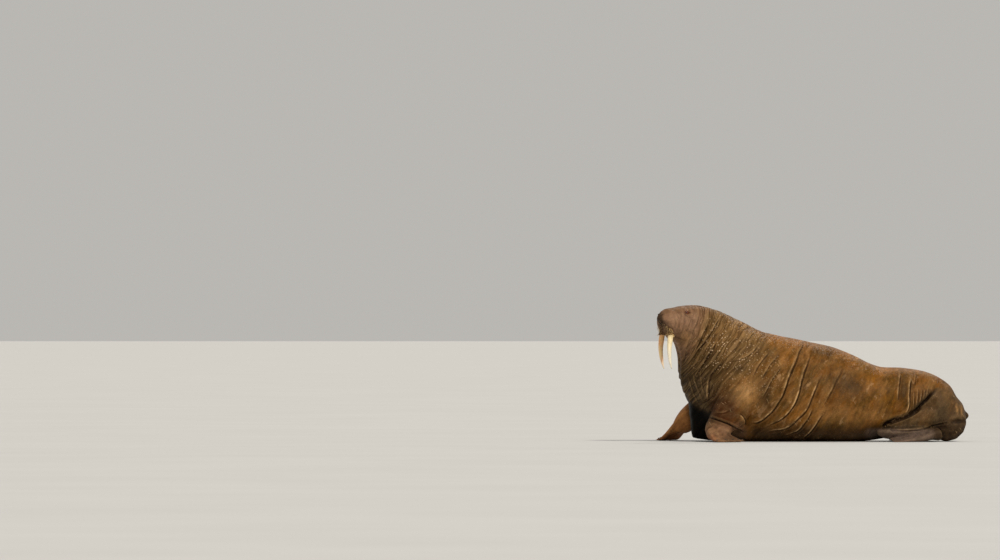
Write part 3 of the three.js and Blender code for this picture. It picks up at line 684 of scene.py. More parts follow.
def shape_eye(points, side):
    """Opens the lids of one eye. Corners move along the ray from the middle of the eyeball."""
    middle_eye = eye_centre(side)
    sign = SIDES[side]
    away = points - middle_eye
    distance = np.linalg.norm(away, axis=1)
    outer = (away @ HEAD_LEFT) * sign
    near = (distance < 0.080) & (outer > -0.012)
    x = (away @ HEAD_BACK)[near] - 0.003
    z = away[near, 2] + 0.003 + 0.36 * x
    r = distance[near]
    x_tilted = x + 0.15 * z
    half = ALMOND["high"] * np.clip(1 - (np.abs(x_tilted) / ALMOND["long"]) ** 2.2, 0, 1)
    gap = np.hypot(np.maximum(np.abs(x_tilted) - ALMOND["long"], 0), np.maximum(np.abs(z) - half, 0))
    inside = (gap < 1e-6) & (outer[near] > 0)
    front = ease(outer[near], 0.0, 0.012)
    rim = bell(gap, 0.0035, 0.0045) * front
    new = r + rim * (np.maximum(r, EYE_RADIUS + 0.0050) - r)
    new -= 0.0030 * bell(gap, 0.0125, 0.0035) * front
    new += 0.0026 * bell(gap, 0.0190, 0.0045) * front
    new -= 0.0022 * bell(gap, 0.0265, 0.0040) * front * (z < 0.01)
    new = np.where(inside, EYE_RADIUS - 0.0035, new)
    points[near] = middle_eye + away[near] / r[:, None] * new[:, None]
    return points


def lip_lines(points, normals):
    """The cleft between the whisker pads, the small swellings that the bristles stand on, the dimple
    over the cleft, the brow and the slanted slits of the nostrils."""
    back, side_way, up = head_place(points)
    out = np.abs(side_way)
    ahead = fall(back, 0.03, 0.09)
    cleft = bell(side_way, 0, 0.007) * ahead * fall(up, 0.95, 1.01) * ease(up, 0.86, 0.9)
    dimple = bell(side_way, 0, 0.010) * ahead * ease(up, 1.0, 1.02) * fall(up, 1.06, 1.09)
    pad = fall(back, 0.05, 0.09) * fall(up, 0.975, 1.01) * ease(out, 0.012, 0.03)
    beads = np.maximum(wander(points, 0.009, 71), 0)
    brow = bell(back, 0.15, 0.02) * bell(up, BROW_HEIGHT, 0.012)
    level = up - NOSTRIL_HEIGHT - 0.5 * (out - NOSTRIL_OUT)
    nostril = bell(out, NOSTRIL_OUT, 0.013) * bell(level, 0, 0.0045) * fall(back, 0.0, 0.03)
    depth = 0.007 * cleft + 0.002 * dimple - 0.0026 * beads * pad - 0.004 * brow + 0.014 * nostril
    return points - normals * depth[:, None]


points = lip_lines(points, normals)
for side in SIDES:
    points = shape_eye(points, side)
ABOVE_FLOOR = 0.0008
points[:, 2] = np.maximum(points[:, 2], ABOVE_FLOOR)
put_corners(skin.data, points)
print("the skin reaches from", points.min(0).round(3), "to", points.max(0).round(3))

# %% [markdown]
# ## Fewer faces where nothing happens
# The net is even, so most of its faces lie on plain flank. Collapsing edges by how little they
# change the shape keeps the faces in folds and on the face, and keeps the skin under the limit.

# %% Thinning the net
def triangles(mesh):
    return sum(len(p.vertices) - 2 for p in mesh.polygons)


SKIN_TRIANGLES = 192000
before = triangles(skin.data)
modifier = skin.modifiers.new("thinned", "DECIMATE")
modifier.ratio = SKIN_TRIANGLES / before
skin = finished(skin)
shade_smooth(skin.data)
print("skin thinned from", before, "to", triangles(skin.data))

# %% [markdown]
# ## What the colours follow
# Creases hold painted shadow, their lips painted highlights, and the hide changes colour over the body.
# None of that comes from a picture: each is a number from 0 to 1 stored at every corner, worked out
# from the shape or from where the corner lies. One more, lie, is a place in the grain of the hide.

# %% Ways to mark a place on the skin
def store(mesh, name, values):
    """Stores a number or a direction for every corner, for a material or a tree to read."""
    kind = "FLOAT_VECTOR" if values.ndim == 2 else "FLOAT"
    attribute = mesh.attributes.new(name, kind, "POINT")
    field = "vector" if values.ndim == 2 else "value"
    attribute.data.foreach_set(field, np.asarray(values, np.float32).ravel())


def blob(points, x, z, wide, high, side=0, tilt=0.0):
    """A soft round patch on the side view, on the left, the right or both sides."""
    dx, dz = points[:, 0] - SHIFT[0] - x, points[:, 2] - z
    along = dx * math.cos(tilt) + dz * math.sin(tilt)
    over = dz * math.cos(tilt) - dx * math.sin(tilt)
    mask = np.exp(-(along / wide) ** 2 - (over / high) ** 2)
    if side:
        mask = mask * ((points[:, 1] - SHIFT[1]) * -side > 0)
    return mask


def eye_patch(points, side):
    """How far from the eye a point lies, in reaches of the bare reddish skin round the lids."""
    away = points - eye_centre(side)
    along = away @ HEAD_BACK - 0.006
    over = away[:, 2] + 0.007 + 0.40 * along
    return np.sqrt((along / 0.031) ** 2 + (over / 0.0175) ** 2 + (away @ HEAD_LEFT / 0.05) ** 2)


def whisker_bed(back, side_way, up):
    """The part of the whisker pads that carries bristles, from the cleft out to the sides."""
    out = np.abs(side_way)
    edge = 0.088 - 0.5 * out + 0.15 * (0.93 - up)
    bed = fall(back, edge - 0.008, edge + 0.008) * ease(out, 0.006, 0.014)
    top = 1.006 - 0.55 * out - 0.3 * back
    return bed * ease(up, 0.866, 0.880) * fall(up, top - 0.014, top + 0.014)


def spots(points, rows):
    """Soft patches added up. Each row is a strength, and then what a blob is made from."""
    return sum(strength * blob(points, *place) for strength, *place in rows)


# %% Hollows and ridges, read from the shape
points = corners(skin.data)
pairs = edge_pairs(skin.data)
normals = outward_normals(skin.data)
u = count_along(points)
x, y, z = points[:, 0] - SHIFT[0], points[:, 1] - SHIFT[1], points[:, 2]
back, side_way, up = head_place(points)
ragged = wander(points, 0.12, 51) * 0.5 + wander(points, 0.035, 52) * 0.3
FINE_SINK, BROAD_SINK = 0.0015, 0.0050  # how far below its neighbours a corner is quite hollow
sink = ((relax(points, pairs, 3) - points) * normals).sum(1) / FINE_SINK
broad = ((relax(points, pairs, 12) - points) * normals).sum(1) / BROAD_SINK
hollow = np.clip(0.7 * sink + 0.5 * broad, 0, 1)
ridge = np.clip(-0.7 * sink - 0.5 * broad - 0.1, 0, 1)
print("hollow corners:", int((hollow > 0.5).sum()), "ridged corners:", int((ridge > 0.5).sum()))

# %% Lips and floors of the long creases
DEEPEST_GROOVE = 0.03  # past this depth a crease is a dark gap between leg and belly
# Crease lips get a painted highlight, stronger low on the body, and each furrow a painted shadow.
lip, shade = np.zeros(len(points)), np.zeros(len(points))
for deep, index, across, strength, rubbing_and_highlight in along_creases(points, normals):
    weight = strength * min(1.0, deep / 0.015)
    highlight_there = rubbing_and_highlight * (1.3 - 0.7 * ease(z[index], 0.36, 0.62))
    lip[index] = np.maximum(lip[index], weight * highlight_there * bell(across, -0.60, 0.34))
    dark = 0.95 * bell(across, 0.35, 0.5) + 0.28 * bell(across, 1.9, 1.7)
    if deep > DEEPEST_GROOVE:
        dark = 1.5 * bell(across, 0.3, 0.9)
    shade[index] = np.maximum(shade[index], np.sqrt(weight) * dark)
print("corners on a rubbed lip:", int((lip > 0.5).sum()))

# %% Pale and dark spots, on the side view
# Strength, x, z, width, height, then the side, 1 for left and -1 for right, and the tilt.
PALE_SPOTS = [
    (1.0, -0.545, 0.42, 0.10, 0.11, 1),  # left shoulder
    (0.5, -0.50, 0.47, 0.13, 0.10, -1),  # right shoulder
    (0.9, -0.585, 0.185, 0.022, 0.030),  # armpit
    (0.45, 0.45, 0.22, 0.08, 0.07, 1),  # flank
    (0.4, 0.12, 0.22, 0.14, 0.07, 1),  # belly
    (0.3, -0.62, 0.95, 0.10, 0.07),  # nape
    (1.5, 1.197, 0.262, 0.009, 0.036),  # rump
    (1.3, 1.236, 0.238, 0.007, 0.030),  # beside the tail
    (0.9, -1.05, 0.85, 0.06, 0.07),  # cheek
    (0.35, -0.80, 0.86, 0.08, 0.08),  # neck
]
DARK_SPOTS = [
    (1.0, 0.30, 0.47, 0.13, 0.12),  # flank
    (1.3, -0.40, 0.40, 0.06, 0.13, 1),  # behind the shoulder
    (1.3, 0.10, 0.76, 0.12, 0.05),  # back
    (1.4, -0.84, 0.65, 0.07, 0.12),  # side of the neck
    (1.0, -0.64, 0.60, 0.08, 0.05),  # over the shoulder
    (1.0, 0.75, 0.42, 0.05, 0.10),  # hip
    (0.8, 0.905, 0.375, 0.085, 0.040, 0, 0.75),  # above the groin
]
FLECK_SPOTS = [(1.0, -0.74, 0.79, 0.22, 0.26), (0.35, -0.45, 0.60, 0.22, 0.22)]
# The groin gap is where the groin crease gets a painted shadow.
GROIN_GAP = (0.895, 0.322, 0.10, 0.018, 0, 0.73)
ARM_SPOT = (-0.73, 0.25, 0.15, 0.17, 0, 0.4)
DASHED_FLANK = (-0.38, 0.58, 0.36, 0.20)
pale, patch = spots(points, PALE_SPOTS), spots(points, DARK_SPOTS)
print("spots:", len(PALE_SPOTS), "pale and", len(DARK_SPOTS), "dark")

# %% Hind leg, rump, arms, and the shadow between the arms
groin = next(line for name, deep, wide, line in CREASES if name == "groin crease")
groin = through(groin[::-1], np.linspace(0, len(groin) - 1, 60))
groin_height = np.interp(x, groin[:, 0], groin[:, 1])
leg = ease(groin_height - z, -0.004, 0.012) * ease(x, 0.55, 0.60) * fall(x, 1.03, 1.16)
stern = ease(x + 0.3 * (0.3 - z) + 0.03 * ragged, 0.99, 1.16)
foot = fall(z, 0.09, 0.14) * ease(x, 0.45, 0.52)
between_arms = ease(x, -1.06, -1.03) * fall(x, -0.80, -0.70)
between_arms *= fall(z + 0.55 * (x + 0.95) + 0.04 * ragged, 0.240, 0.320)
off_middle = y - CHEST_MIDDLE
between_arms *= fall(np.abs(off_middle) - 0.10 * normals[:, 1] * np.sign(off_middle), 0.30, 0.38)
open_hide = 1 - np.clip(between_arms, 0, 1)
# The front of the far arm is painted brighter, as painted sunlight.
far_arm = fall(x, -1.03, -0.97) * ease(y + 0.8 * (0.30 - z), 0.17, 0.26)
far_arm *= fall(z + 0.04 * ragged, 0.32, 0.48)
near_arm = blob(points, *ARM_SPOT) * ease(np.abs(y), 0.25, 0.32)
print("corners in the shadow between the arms:", int((between_arms > 0.5).sum()))

# %% Numbers stored on the skin
# Most tones start or end at a height or at a length along the body, over the stretch between the
# two numbers, with an edge made ragged by noise.
eye_gap = np.minimum(*[eye_patch(points, side) for side in SIDES])
hand = fall(z + 0.02 * ragged, 0.12, 0.19) * fall(x, -0.60, -0.52)
lined = 0.9 * ease(u, 1.1, 2.2) * fall(u, 4.4, 6.2) + 0.16 * ease(u, 5, 6) * fall(u, 8, 10)
lined = lined * (1 - np.clip(near_arm + far_arm + hand, 0, 1)) + 0.02
snout_gap = back + 0.4 * np.abs(side_way) + 0.01 * ragged + 0.15 * np.maximum(up - 1.0, 0)
wet_stretch = ease(x + 0.03 * ragged, -0.78, -0.70) * fall(x, -0.60, -0.52)
chest_height = z + 0.4 * (x + 0.9) + 0.05 * ragged
masks = {
    "hollow": hollow,
    "ridge": ridge * open_hide,
    "lip": lip * open_hide,
    "shade": shade,
    "grey": ease(u + ragged, 1.5, 2.6) * fall(u + 1.3 * ragged, 5.0, 6.4),
    "rose": fall(u + ragged * 0.5, 1.4, 2.6),
    "breast": fall(chest_height, 0.40, 0.72) * fall(x, -0.86, -0.62) * (u > 2),
    "crown": ease(z + 0.02 * ragged, 1.02, 1.10) * fall(u, 2.0, 3.5),
    "dusk": np.clip(0.8 * leg + 0.75 * stern + foot, 0, 1),
    "rust": np.clip(1.2 * near_arm, 0, 1),
    "far": far_arm,
    "hand": hand,
    "wet": fall(z + 0.02 * ragged, 0.07, 0.14) * wet_stretch,
    "toe": fall(z + 0.02 * ragged, 0.025, 0.075) * fall(x + 0.03 * ragged, -0.84, -0.78),
    "pale": np.clip(pale, 0, 1),
    # Painted shadow between the fore limbs and in the groin crease.
    "gloom": np.clip(between_arms + 0.9 * blob(points, *GROIN_GAP), 0, 1),
    "patch": np.clip(patch, 0, 1),
    # Painted shade low on the belly, near the floor.
    "under": fall(z + 0.05 * ragged, 0.04, 0.20) * ease(x, -0.58, -0.46),
    "sole": fall(z + 0.01 * ragged, 0.090, 0.120) * ease(x, 0.42, 0.48) * fall(x, 0.98, 1.05),
    "heel": fall(z + 0.4 * (1.1 - x), 0.10, 0.24) * ease(x, 0.93, 1.03),
    "muzzle": fall(snout_gap, -0.020, 0.014),
    "bed": whisker_bed(back, side_way, up),
    "lid": fall(eye_gap, 0.75, 1.25),
    "lined": open_hide * lined,
    "sunlit": ease(normals[:, 2], 0.72, 0.98) * ease(z, 0.50, 0.60) * ease(u, 3.5, 5.0),
    "dashed": np.clip(1.2 * blob(points, *DASHED_FLANK) + 0.25, 0, 1) * (u > 2.5),
    "flecked": np.clip(spots(points, FLECK_SPOTS) + 0.05, 0, 1),
    "lie": lying(points, u),
}
for name, values in masks.items():
    store(skin.data, name, values)
print("numbers stored on the skin:", sorted(masks))

# %% [markdown]
# ## Node trees
# Materials and Geometry Nodes are both trees of nodes. A few short helpers keep them readable: each
# adds a node, sets its inputs, and joins the ones that are given as sockets. Effects that several
# finishes share are node groups, built once with named inputs.

# %% Short ways to build a tree
def put(tree, kind, values=(), **settings):
    """A new node with its settings, and its inputs set to values or joined to sockets."""
    node = tree.nodes.new(kind)
    for name, value in settings.items():
        setattr(node, name, value)
    for name, value in dict(values).items():
        if isinstance(value, bpy.types.NodeSocket):
            tree.links.new(value, node.inputs[name])
        else:
            node.inputs[name].default_value = value
    return node


def work(tree, operation, a, b=0.0, c=0.0):
    """The result of a sum, product or other operation on numbers."""
    return put(tree, "ShaderNodeMath", {0: a, 1: b, 2: c}, operation=operation).outputs[0]


def times(tree, a, b):
    return work(tree, "MULTIPLY", a, b)


def blend(tree, share, a, b, kind="MIX"):
    """Colour a turning into colour b by a share, or laid over each other another way."""
    values = {0: share, 6: a, 7: b}
    return put(tree, "ShaderNodeMix", values, data_type="RGBA", blend_type=kind).outputs[2]


def between(tree, value, low, high, to_low=0.0, to_high=1.0):
    """A value carried smoothly from one range to another, and held at its ends."""
    values = {"Value": value, "From Min": low, "From Max": high, "To Min": to_low, "To Max": to_high}
    return put(tree, "ShaderNodeMapRange", values, interpolation_type="SMOOTHSTEP").outputs[0]


def vectors(tree, operation, a, b):
    """The result of an operation on two directions, or of SCALE on a direction and a number."""
    values = {0: a, 3 if operation == "SCALE" else 1: b}
    return put(tree, "ShaderNodeVectorMath", values, operation=operation).outputs[0]


def scaled(tree, place, size):
    return vectors(tree, "MULTIPLY", place, size)


def object_place(tree):
    return put(tree, "ShaderNodeTexCoord").outputs["Object"]


def stored(tree, name, sort="Fac"):
    """A number or direction that is stored on the mesh."""
    return put(tree, "ShaderNodeAttribute", attribute_name=name).outputs[sort]


def tint(red, green, blue):
    """A colour from the 0 to 255 numbers of a paint chart, as the linear light a shader wants."""
    part = [c / 255 for c in (red, green, blue)]
    return (*[c / 12.92 if c <= 0.04045 else ((c + 0.055) / 1.055) ** 2.4 for c in part], 1.0)


def new_group(name, kind, wanted, given):
    """An empty node group with named inputs (name, sort, start) and outputs (name, sort)."""
    tree = bpy.data.node_groups.new(name, kind)
    for label, sort, start in wanted:
        socket = tree.interface.new_socket(name=label, in_out="INPUT", socket_type="NodeSocket" + sort)
        if start is not None:
            socket.default_value = start
    for label, sort in given:
        tree.interface.new_socket(name=label, in_out="OUTPUT", socket_type="NodeSocket" + sort)
    return tree, put(tree, "NodeGroupInput").outputs, put(tree, "NodeGroupOutput").inputs


def use(tree, group, **values):
    """A placed group. Its inputs are given by name, with _ for a space."""
    node = put(tree, "ShaderNodeGroup", node_tree=group)
    for name, value in values.items():
        socket = node.inputs[name.replace("_", " ")]
        if isinstance(value, bpy.types.NodeSocket):
            tree.links.new(value, socket)
        else:
            socket.default_value = value
    return node.outputs


# %% [markdown]
# ### Shared effects
# Hide, horn and ivory are all uneven in their own ways. Blotches are soft noise. The hide's cracks
# are the edges of Voronoi cells, stretched along the wrinkles. Warts and scars are Voronoi cells
# too, of which only a share is kept: round ones for pale warts, long thin ones for old scars.

# %% Blotches and cracks
MASK, HEIGHT = ("Mask", "Float"), ("Height", "Float")
PLACE, LIE, SEED = ("Place", "Vector", None), ("Lie", "Vector", None), ("Seed", "Float", 0.0)


def shader_group(name, wanted, given):
    return new_group(name, "ShaderNodeTree", wanted, given)


def blotches_group():
    wanted = [PLACE, ("Size", "Float", 0.1), ("Softness", "Float", 0.1), SEED]
    tree, given, out = shader_group("soft blotches", wanted, [MASK, HEIGHT])
    count = work(tree, "DIVIDE", 1.0, given["Size"])
    values = {"Vector": given["Place"], "W": given["Seed"], "Scale": count, "Detail": 4.0,
              "Roughness": 0.55}
    noise = put(tree, "ShaderNodeTexNoise", values, noise_dimensions="4D").outputs[0]
    low = work(tree, "SUBTRACT", 0.5, given["Softness"])
    high = work(tree, "ADD", 0.5, given["Softness"])
    tree.links.new(between(tree, noise, low, high), out["Mask"])
    tree.links.new(noise, out["Height"])
    return tree


def cracks_group():
    """Edges of cells, pushed about by noise so that none of them is straight."""
    wanted = [LIE, ("Size", "Float", 0.02), ("Width", "Float", 0.1)]
    tree, given, out = shader_group("cracked hide", wanted, [("Crack", "Float"), HEIGHT])
    count = work(tree, "DIVIDE", 1.0, given["Size"])
    values = {"Vector": given["Lie"], "Scale": times(tree, count, 0.5), "Detail": 2.0}
    shifted = put(tree, "ShaderNodeTexNoise", values).outputs["Color"]
    pushed = vectors(tree, "SCALE", shifted, times(tree, given["Size"], 0.9))
    place = vectors(tree, "ADD", given["Lie"], pushed)
    values = {"Vector": place, "Scale": count, "Randomness": 1.0}
    edge = put(tree, "ShaderNodeTexVoronoi", values, feature="DISTANCE_TO_EDGE").outputs["Distance"]
    tree.links.new(between(tree, edge, 0.0, given["Width"], 1.0, 0.0), out["Crack"])
    tree.links.new(between(tree, edge, 0.0, 0.35), out["Height"])
    return tree


# %% Spots and scars
def spots_group():
    wanted = [PLACE, ("Size", "Float", 0.03), ("Share", "Float", 0.4), ("Reach", "Float", 0.3)]
    tree, given, out = shader_group("kept cells", wanted, [MASK])
    count = work(tree, "DIVIDE", 1.0, given["Size"])
    cells = put(tree, "ShaderNodeTexVoronoi", {"Vector": given["Place"], "Scale": count}, feature="F1")
    draw = put(tree, "ShaderNodeSeparateColor", {0: cells.outputs["Color"]}).outputs
    kept = work(tree, "LESS_THAN", draw[0], given["Share"])
    reach = times(tree, given["Reach"], work(tree, "MULTIPLY_ADD", draw[1], 0.8, 0.4))
    near = between(tree, cells.outputs["Distance"], times(tree, reach, 0.45), reach, 1.0, 0.0)
    tree.links.new(times(tree, kept, near), out["Mask"])
    return tree


def scars_group():
    """Long thin cells, leaning to one side and a little curved, of which a share is kept."""
    wanted = [PLACE, ("Lean", "Float", 0.6), ("Length", "Float", 0.12), ("Share", "Float", 0.3)]
    tree, given, out = shader_group("thin scars", wanted, [MASK])
    values = {"Vector": given["Place"], "Angle": given["Lean"]}
    turned = put(tree, "ShaderNodeVectorRotate", values, rotation_type="Y_AXIS").outputs[0]
    values = {"Vector": turned, "Scale": 5.0, "Detail": 1.0}
    curved = vectors(tree, "SCALE", put(tree, "ShaderNodeTexNoise", values).outputs["Color"], 0.06)
    thin = scaled(tree, vectors(tree, "ADD", turned, curved), (1.0, 1.0, 16.0))
    count = work(tree, "DIVIDE", 1.0, given["Length"])
    cells = put(tree, "ShaderNodeTexVoronoi", {"Vector": thin, "Scale": count}, feature="F1")
    draw = put(tree, "ShaderNodeSeparateColor", {0: cells.outputs["Color"]}).outputs
    kept = work(tree, "LESS_THAN", draw[0], given["Share"])
    near = between(tree, cells.outputs["Distance"], 0.12, 0.34, 1.0, 0.0)
    tree.links.new(times(tree, kept, near), out["Mask"])
    return tree


# %% Wrinkle lines and streaks
def lines_group():
    """Long wrinkles side by side: noise drawn out along them, read as crests and furrows."""
    wanted = [LIE, ("Across", "Float", 0.02), ("Along", "Float", 0.15), SEED]
    tree, given, out = shader_group("hide lines", wanted, [HEIGHT, ("Lip", "Float"), ("Furrow", "Float")])
    values = {"Vector": given["Lie"], "Scale": 7.0, "Detail": 1.0}
    bend = put(tree, "ShaderNodeTexNoise", values).outputs[0]
    part = put(tree, "ShaderNodeSeparateXYZ", {0: given["Lie"]}).outputs
    swayed = work(tree, "MULTIPLY_ADD", bend, 0.09, part[0])
    across = work(tree, "DIVIDE", swayed, given["Across"])
    along = work(tree, "DIVIDE", part[1], given["Along"])
    over = work(tree, "DIVIDE", part[2], given["Along"])
    place = put(tree, "ShaderNodeCombineXYZ", {0: across, 1: along, 2: over}).outputs[0]
    values = {"Vector": place, "W": given["Seed"], "Scale": 1.0, "Detail": 1.5, "Roughness": 0.4}
    noise = put(tree, "ShaderNodeTexNoise", values, noise_dimensions="4D").outputs[0]
    away = work(tree, "ABSOLUTE", work(tree, "SUBTRACT", noise, 0.5))
    tree.links.new(between(tree, away, 0.0, 0.09), out["Height"])
    tree.links.new(between(tree, away, 0.0, 0.020, 1.0, 0.0), out["Furrow"])
    tree.links.new(between(tree, away, 0.07, 0.13), out["Lip"])
    return tree


def streaks_group():
    """Noise drawn out twelve times along Z, for the grain of the tusks."""
    wanted = [PLACE, ("Size", "Float", 0.004), SEED]
    tree, given, out = shader_group("long streaks", wanted, [HEIGHT])
    count = work(tree, "DIVIDE", 1.0, given["Size"])
    drawn = scaled(tree, given["Place"], (1.0, 1.0, 0.08))
    values = {"Vector": drawn, "W": given["Seed"], "Scale": count, "Detail": 3.0}
    noise = put(tree, "ShaderNodeTexNoise", values, noise_dimensions="4D").outputs[0]
    tree.links.new(noise, out["Height"])
    return tree


BLOTCHES, CRACKS, SPOTS = blotches_group(), cracks_group(), spots_group()
SCARS, LINES, STREAKS = scars_group(), lines_group(), streaks_group()
print("shared effects:", [g.name for g in bpy.data.node_groups])

# %% [markdown]
# ## The hide
# A walrus in the sun is cinnamon brown on the flank, greyer and paler on the neck and rosy grey on the
# head, and the shade between its arms is painted near black. Furrows get painted shadow, and their lips
# painted highlights. The stored numbers choose between the tones, and noise at several sizes breaks them
# up.

# %% Tones and layers of the hide
def new_material(name):
    """An empty material: its tree and its shader."""
    material = bpy.data.materials.new(name)
    material.use_nodes = True
    tree = material.node_tree
    tree.nodes.clear()
    shader = put(tree, "ShaderNodeBsdfPrincipled")
    put(tree, "ShaderNodeOutputMaterial", {0: shader.outputs[0]})
    return material, tree, shader


def join_to(tree, shader, **sockets):
    for name, socket in sockets.items():
        tree.links.new(socket, shader.inputs[name.replace("_", " ")])


# Sunlit and the far arm's tone are painted sunlight; under and the near black tone are painted shade.
TONES = {
    "flank": tint(100, 61, 16), "orange": tint(130, 84, 26), "olive": tint(76, 54, 18),
    "rosy": tint(126, 88, 48), "wear_and_highlight": tint(176, 138, 98), "neck": tint(94, 70, 39),
    "dark": tint(56, 39, 17), "head": tint(128, 98, 76), "crown": tint(108, 78, 54),
    "breast": tint(58, 45, 26), "dusk": tint(62, 50, 34), "rust": tint(58, 28, 8),
    "hand": tint(126, 92, 66), "wet": tint(78, 58, 42), "far": tint(176, 118, 66),
    "toe": tint(150, 92, 56), "pale": tint(166, 124, 76), "sunlit": tint(178, 124, 72),
    "under": tint(30, 18, 6), "sole": tint(96, 80, 70), "heel": tint(36, 24, 15),
    "gloom": tint(8, 5, 3), "bed": tint(70, 44, 24), "muzzle": tint(48, 33, 22),
    "lid": tint(98, 46, 26), "rim": tint(200, 162, 114), "furrow": tint(28, 15, 5),
    "fleck": tint(194, 164, 130), "scar": tint(204, 172, 128),
}
LAYERS = [  # the stored number, its tone and the most that it covers
    ("grey", "neck", 0.85), ("patch", "dark", 0.8), ("rose", "head", 0.95), ("crown", "crown", 0.7),
    ("breast", "breast", 0.85), ("dusk", "dusk", 0.92), ("rust", "rust", 0.90), ("hand", "hand", 0.80),
    ("wet", "wet", 0.75), ("far", "far", 0.85), ("toe", "toe", 0.6), ("pale", "pale", 0.60),
    ("sunlit", "sunlit", 0.22), ("under", "under", 0.90), ("sole", "sole", 0.85),
    ("heel", "heel", 0.85), ("gloom", "gloom", 0.9), ("bed", "bed", 0.8), ("muzzle", "muzzle", 0.9),
    ("lid", "lid", 0.85),
]


def paint(tree, colour, tone, share, most):
    """Lays a tone over a colour, by a share and up to the most."""
    return blend(tree, times(tree, share, most), colour, TONES[tone])


print("the hide has", len(TONES), "tones")


# %% The hide's colour
def hide_ground(tree, place, grain, rubbing_and_highlight, mottle, fine):
    """The brown of the flank and every tone that belongs to a part of the body, mottled. Some
    of them are painted sunlight and painted shade.
    """
    broad = use(tree, BLOTCHES, Place=place, Size=0.40, Softness=0.14, Seed=1.0)["Mask"]
    patchy = use(tree, BLOTCHES, Place=grain, Size=0.16, Softness=0.10, Seed=2.0)["Mask"]
    rosy = use(tree, BLOTCHES, Place=grain, Size=0.11, Softness=0.08, Seed=7.0)["Mask"]
    colour = paint(tree, TONES["flank"], "orange", broad, 0.7)
    colour = paint(tree, colour, "olive", patchy, 0.7)
    colour = paint(tree, colour, "rosy", rosy, 0.45)
    colour = blend(tree, between(tree, rubbing_and_highlight, 0.60, 0.66, 0.0, 0.35), colour, TONES["wear_and_highlight"])
    for name, tone, most in LAYERS:
        colour = paint(tree, colour, tone, stored(tree, name), most)
    light = work(tree, "MULTIPLY_ADD", mottle, 1.9, 0.05)
    light = times(tree, light, work(tree, "MULTIPLY_ADD", fine, 0.6, 0.70))
    grey = put(tree, "ShaderNodeCombineColor", {0: light, 1: light, 2: light}).outputs[0]
    return blend(tree, 1.0, colour, grey, "MULTIPLY")


def hide_marks(tree, place, rubbing_and_highlight, mottle, lines, cracks, flecks):
    """What lies over the ground, from the first to the last: tone, share and the most it covers."""
    lined = stored(tree, "lined")
    scars = use(tree, SCARS, Place=place, Lean=-1.05, Length=0.09, Share=0.12)["Mask"]
    scars = times(tree, scars, between(tree, rubbing_and_highlight, 0.50, 0.58))
    dashes = use(tree, SCARS, Place=place, Lean=-1.05, Length=0.10, Share=0.30)["Mask"]
    here = times(tree, stored(tree, "dashed"), between(tree, mottle, 0.45, 0.6))
    dashes = times(tree, dashes, here)
    # The lips of the long creases get a painted highlight, broken up by the mottle.
    wear_and_highlight = times(tree, stored(tree, "lip"), between(tree, mottle, 0.40, 0.58, 0.15, 1.0))
    return [
        # A painted highlight on the crests of the fine wrinkles, and painted shade in their furrows.
        ("rim", times(tree, lined, lines["Lip"]), 0.16),
        ("furrow", times(tree, lined, lines["Furrow"]), 0.75),
        ("furrow", cracks["Crack"], 0.12),
        # A painted shadow past the furrow of each long crease, and darker hollows.
        ("furrow", stored(tree, "shade"), 0.80),
        ("furrow", stored(tree, "hollow"), 0.55),
        # Paler ridges, and a painted highlight on the lips of the long creases.
        ("rim", stored(tree, "ridge"), 0.16),
        ("rim", wear_and_highlight, 0.85),
        ("fleck", flecks, 0.85),
        ("scar", scars, 0.45),
        ("rim", dashes, 0.50),
        # Painted shadow between the fore limbs and in the groin.
        ("gloom", stored(tree, "gloom"), 0.9),
    ]


# %% The hide's relief and gloss
def hide_relief(tree, place, mottle, fine, lines, cracks, flecks):
    """The bump: wrinkles where the hide is lined, then the smaller forms, each a height in metres."""
    pores = put(tree, "ShaderNodeTexNoise", {"Vector": place, "Scale": 420.0, "Detail": 3.0}).outputs[0]
    height = times(tree, stored(tree, "lined"), times(tree, lines["Height"], 0.0050))
    forms = [(cracks["Height"], 0.0011), (mottle, 0.0030), (fine, 0.0014), (pores, 0.0005),
             (flecks, 0.0025)]
    for form, high in forms:
        height = work(tree, "MULTIPLY_ADD", form, high, height)
    bump = put(tree, "ShaderNodeBump", {"Strength": 0.9, "Distance": 1.0, "Height": height})
    return bump.outputs[0]


def hide_material():
    material, tree, shader = new_material("walrus hide")
    place = object_place(tree)
    lie = stored(tree, "lie", "Vector")
    grain = scaled(tree, lie, (1.7, 0.8, 0.8))
    rubbing_and_highlight = use(tree, BLOTCHES, Place=grain, Size=0.07, Softness=0.1, Seed=8.0)["Height"]
    mottle = use(tree, BLOTCHES, Place=grain, Size=0.045, Softness=0.14, Seed=3.0)["Height"]
    fine = use(tree, BLOTCHES, Place=place, Size=0.012, Softness=0.2, Seed=4.0)["Height"]
    lines = use(tree, LINES, Lie=lie, Across=0.028, Along=0.30, Seed=1.0)
    cracks = use(tree, CRACKS, Lie=scaled(tree, lie, (1.9, 1.0, 1.0)), Size=0.022, Width=0.14)
    flecks = use(tree, SPOTS, Place=place, Size=0.020, Share=0.62, Reach=0.37)["Mask"]
    flecks = times(tree, flecks, stored(tree, "flecked"))
    colour = hide_ground(tree, place, grain, rubbing_and_highlight, mottle, fine)
    for tone, share, most in hide_marks(tree, place, rubbing_and_highlight, mottle, lines, cracks, flecks):
        colour = paint(tree, colour, tone, share, most)
    rough = work(tree, "MULTIPLY_ADD", fine, 0.3, 0.36)
    relief = hide_relief(tree, place, mottle, fine, lines, cracks, flecks)
    join_to(tree, shader, Base_Color=colour, Roughness=rough, Normal=relief)
    shader.inputs["Specular IOR Level"].default_value = 0.05
    return material


skin.data.materials.clear()
HIDE = hide_material()
skin.data.materials.append(HIDE)
print("the hide's material has", len(HIDE.node_tree.nodes), "nodes")

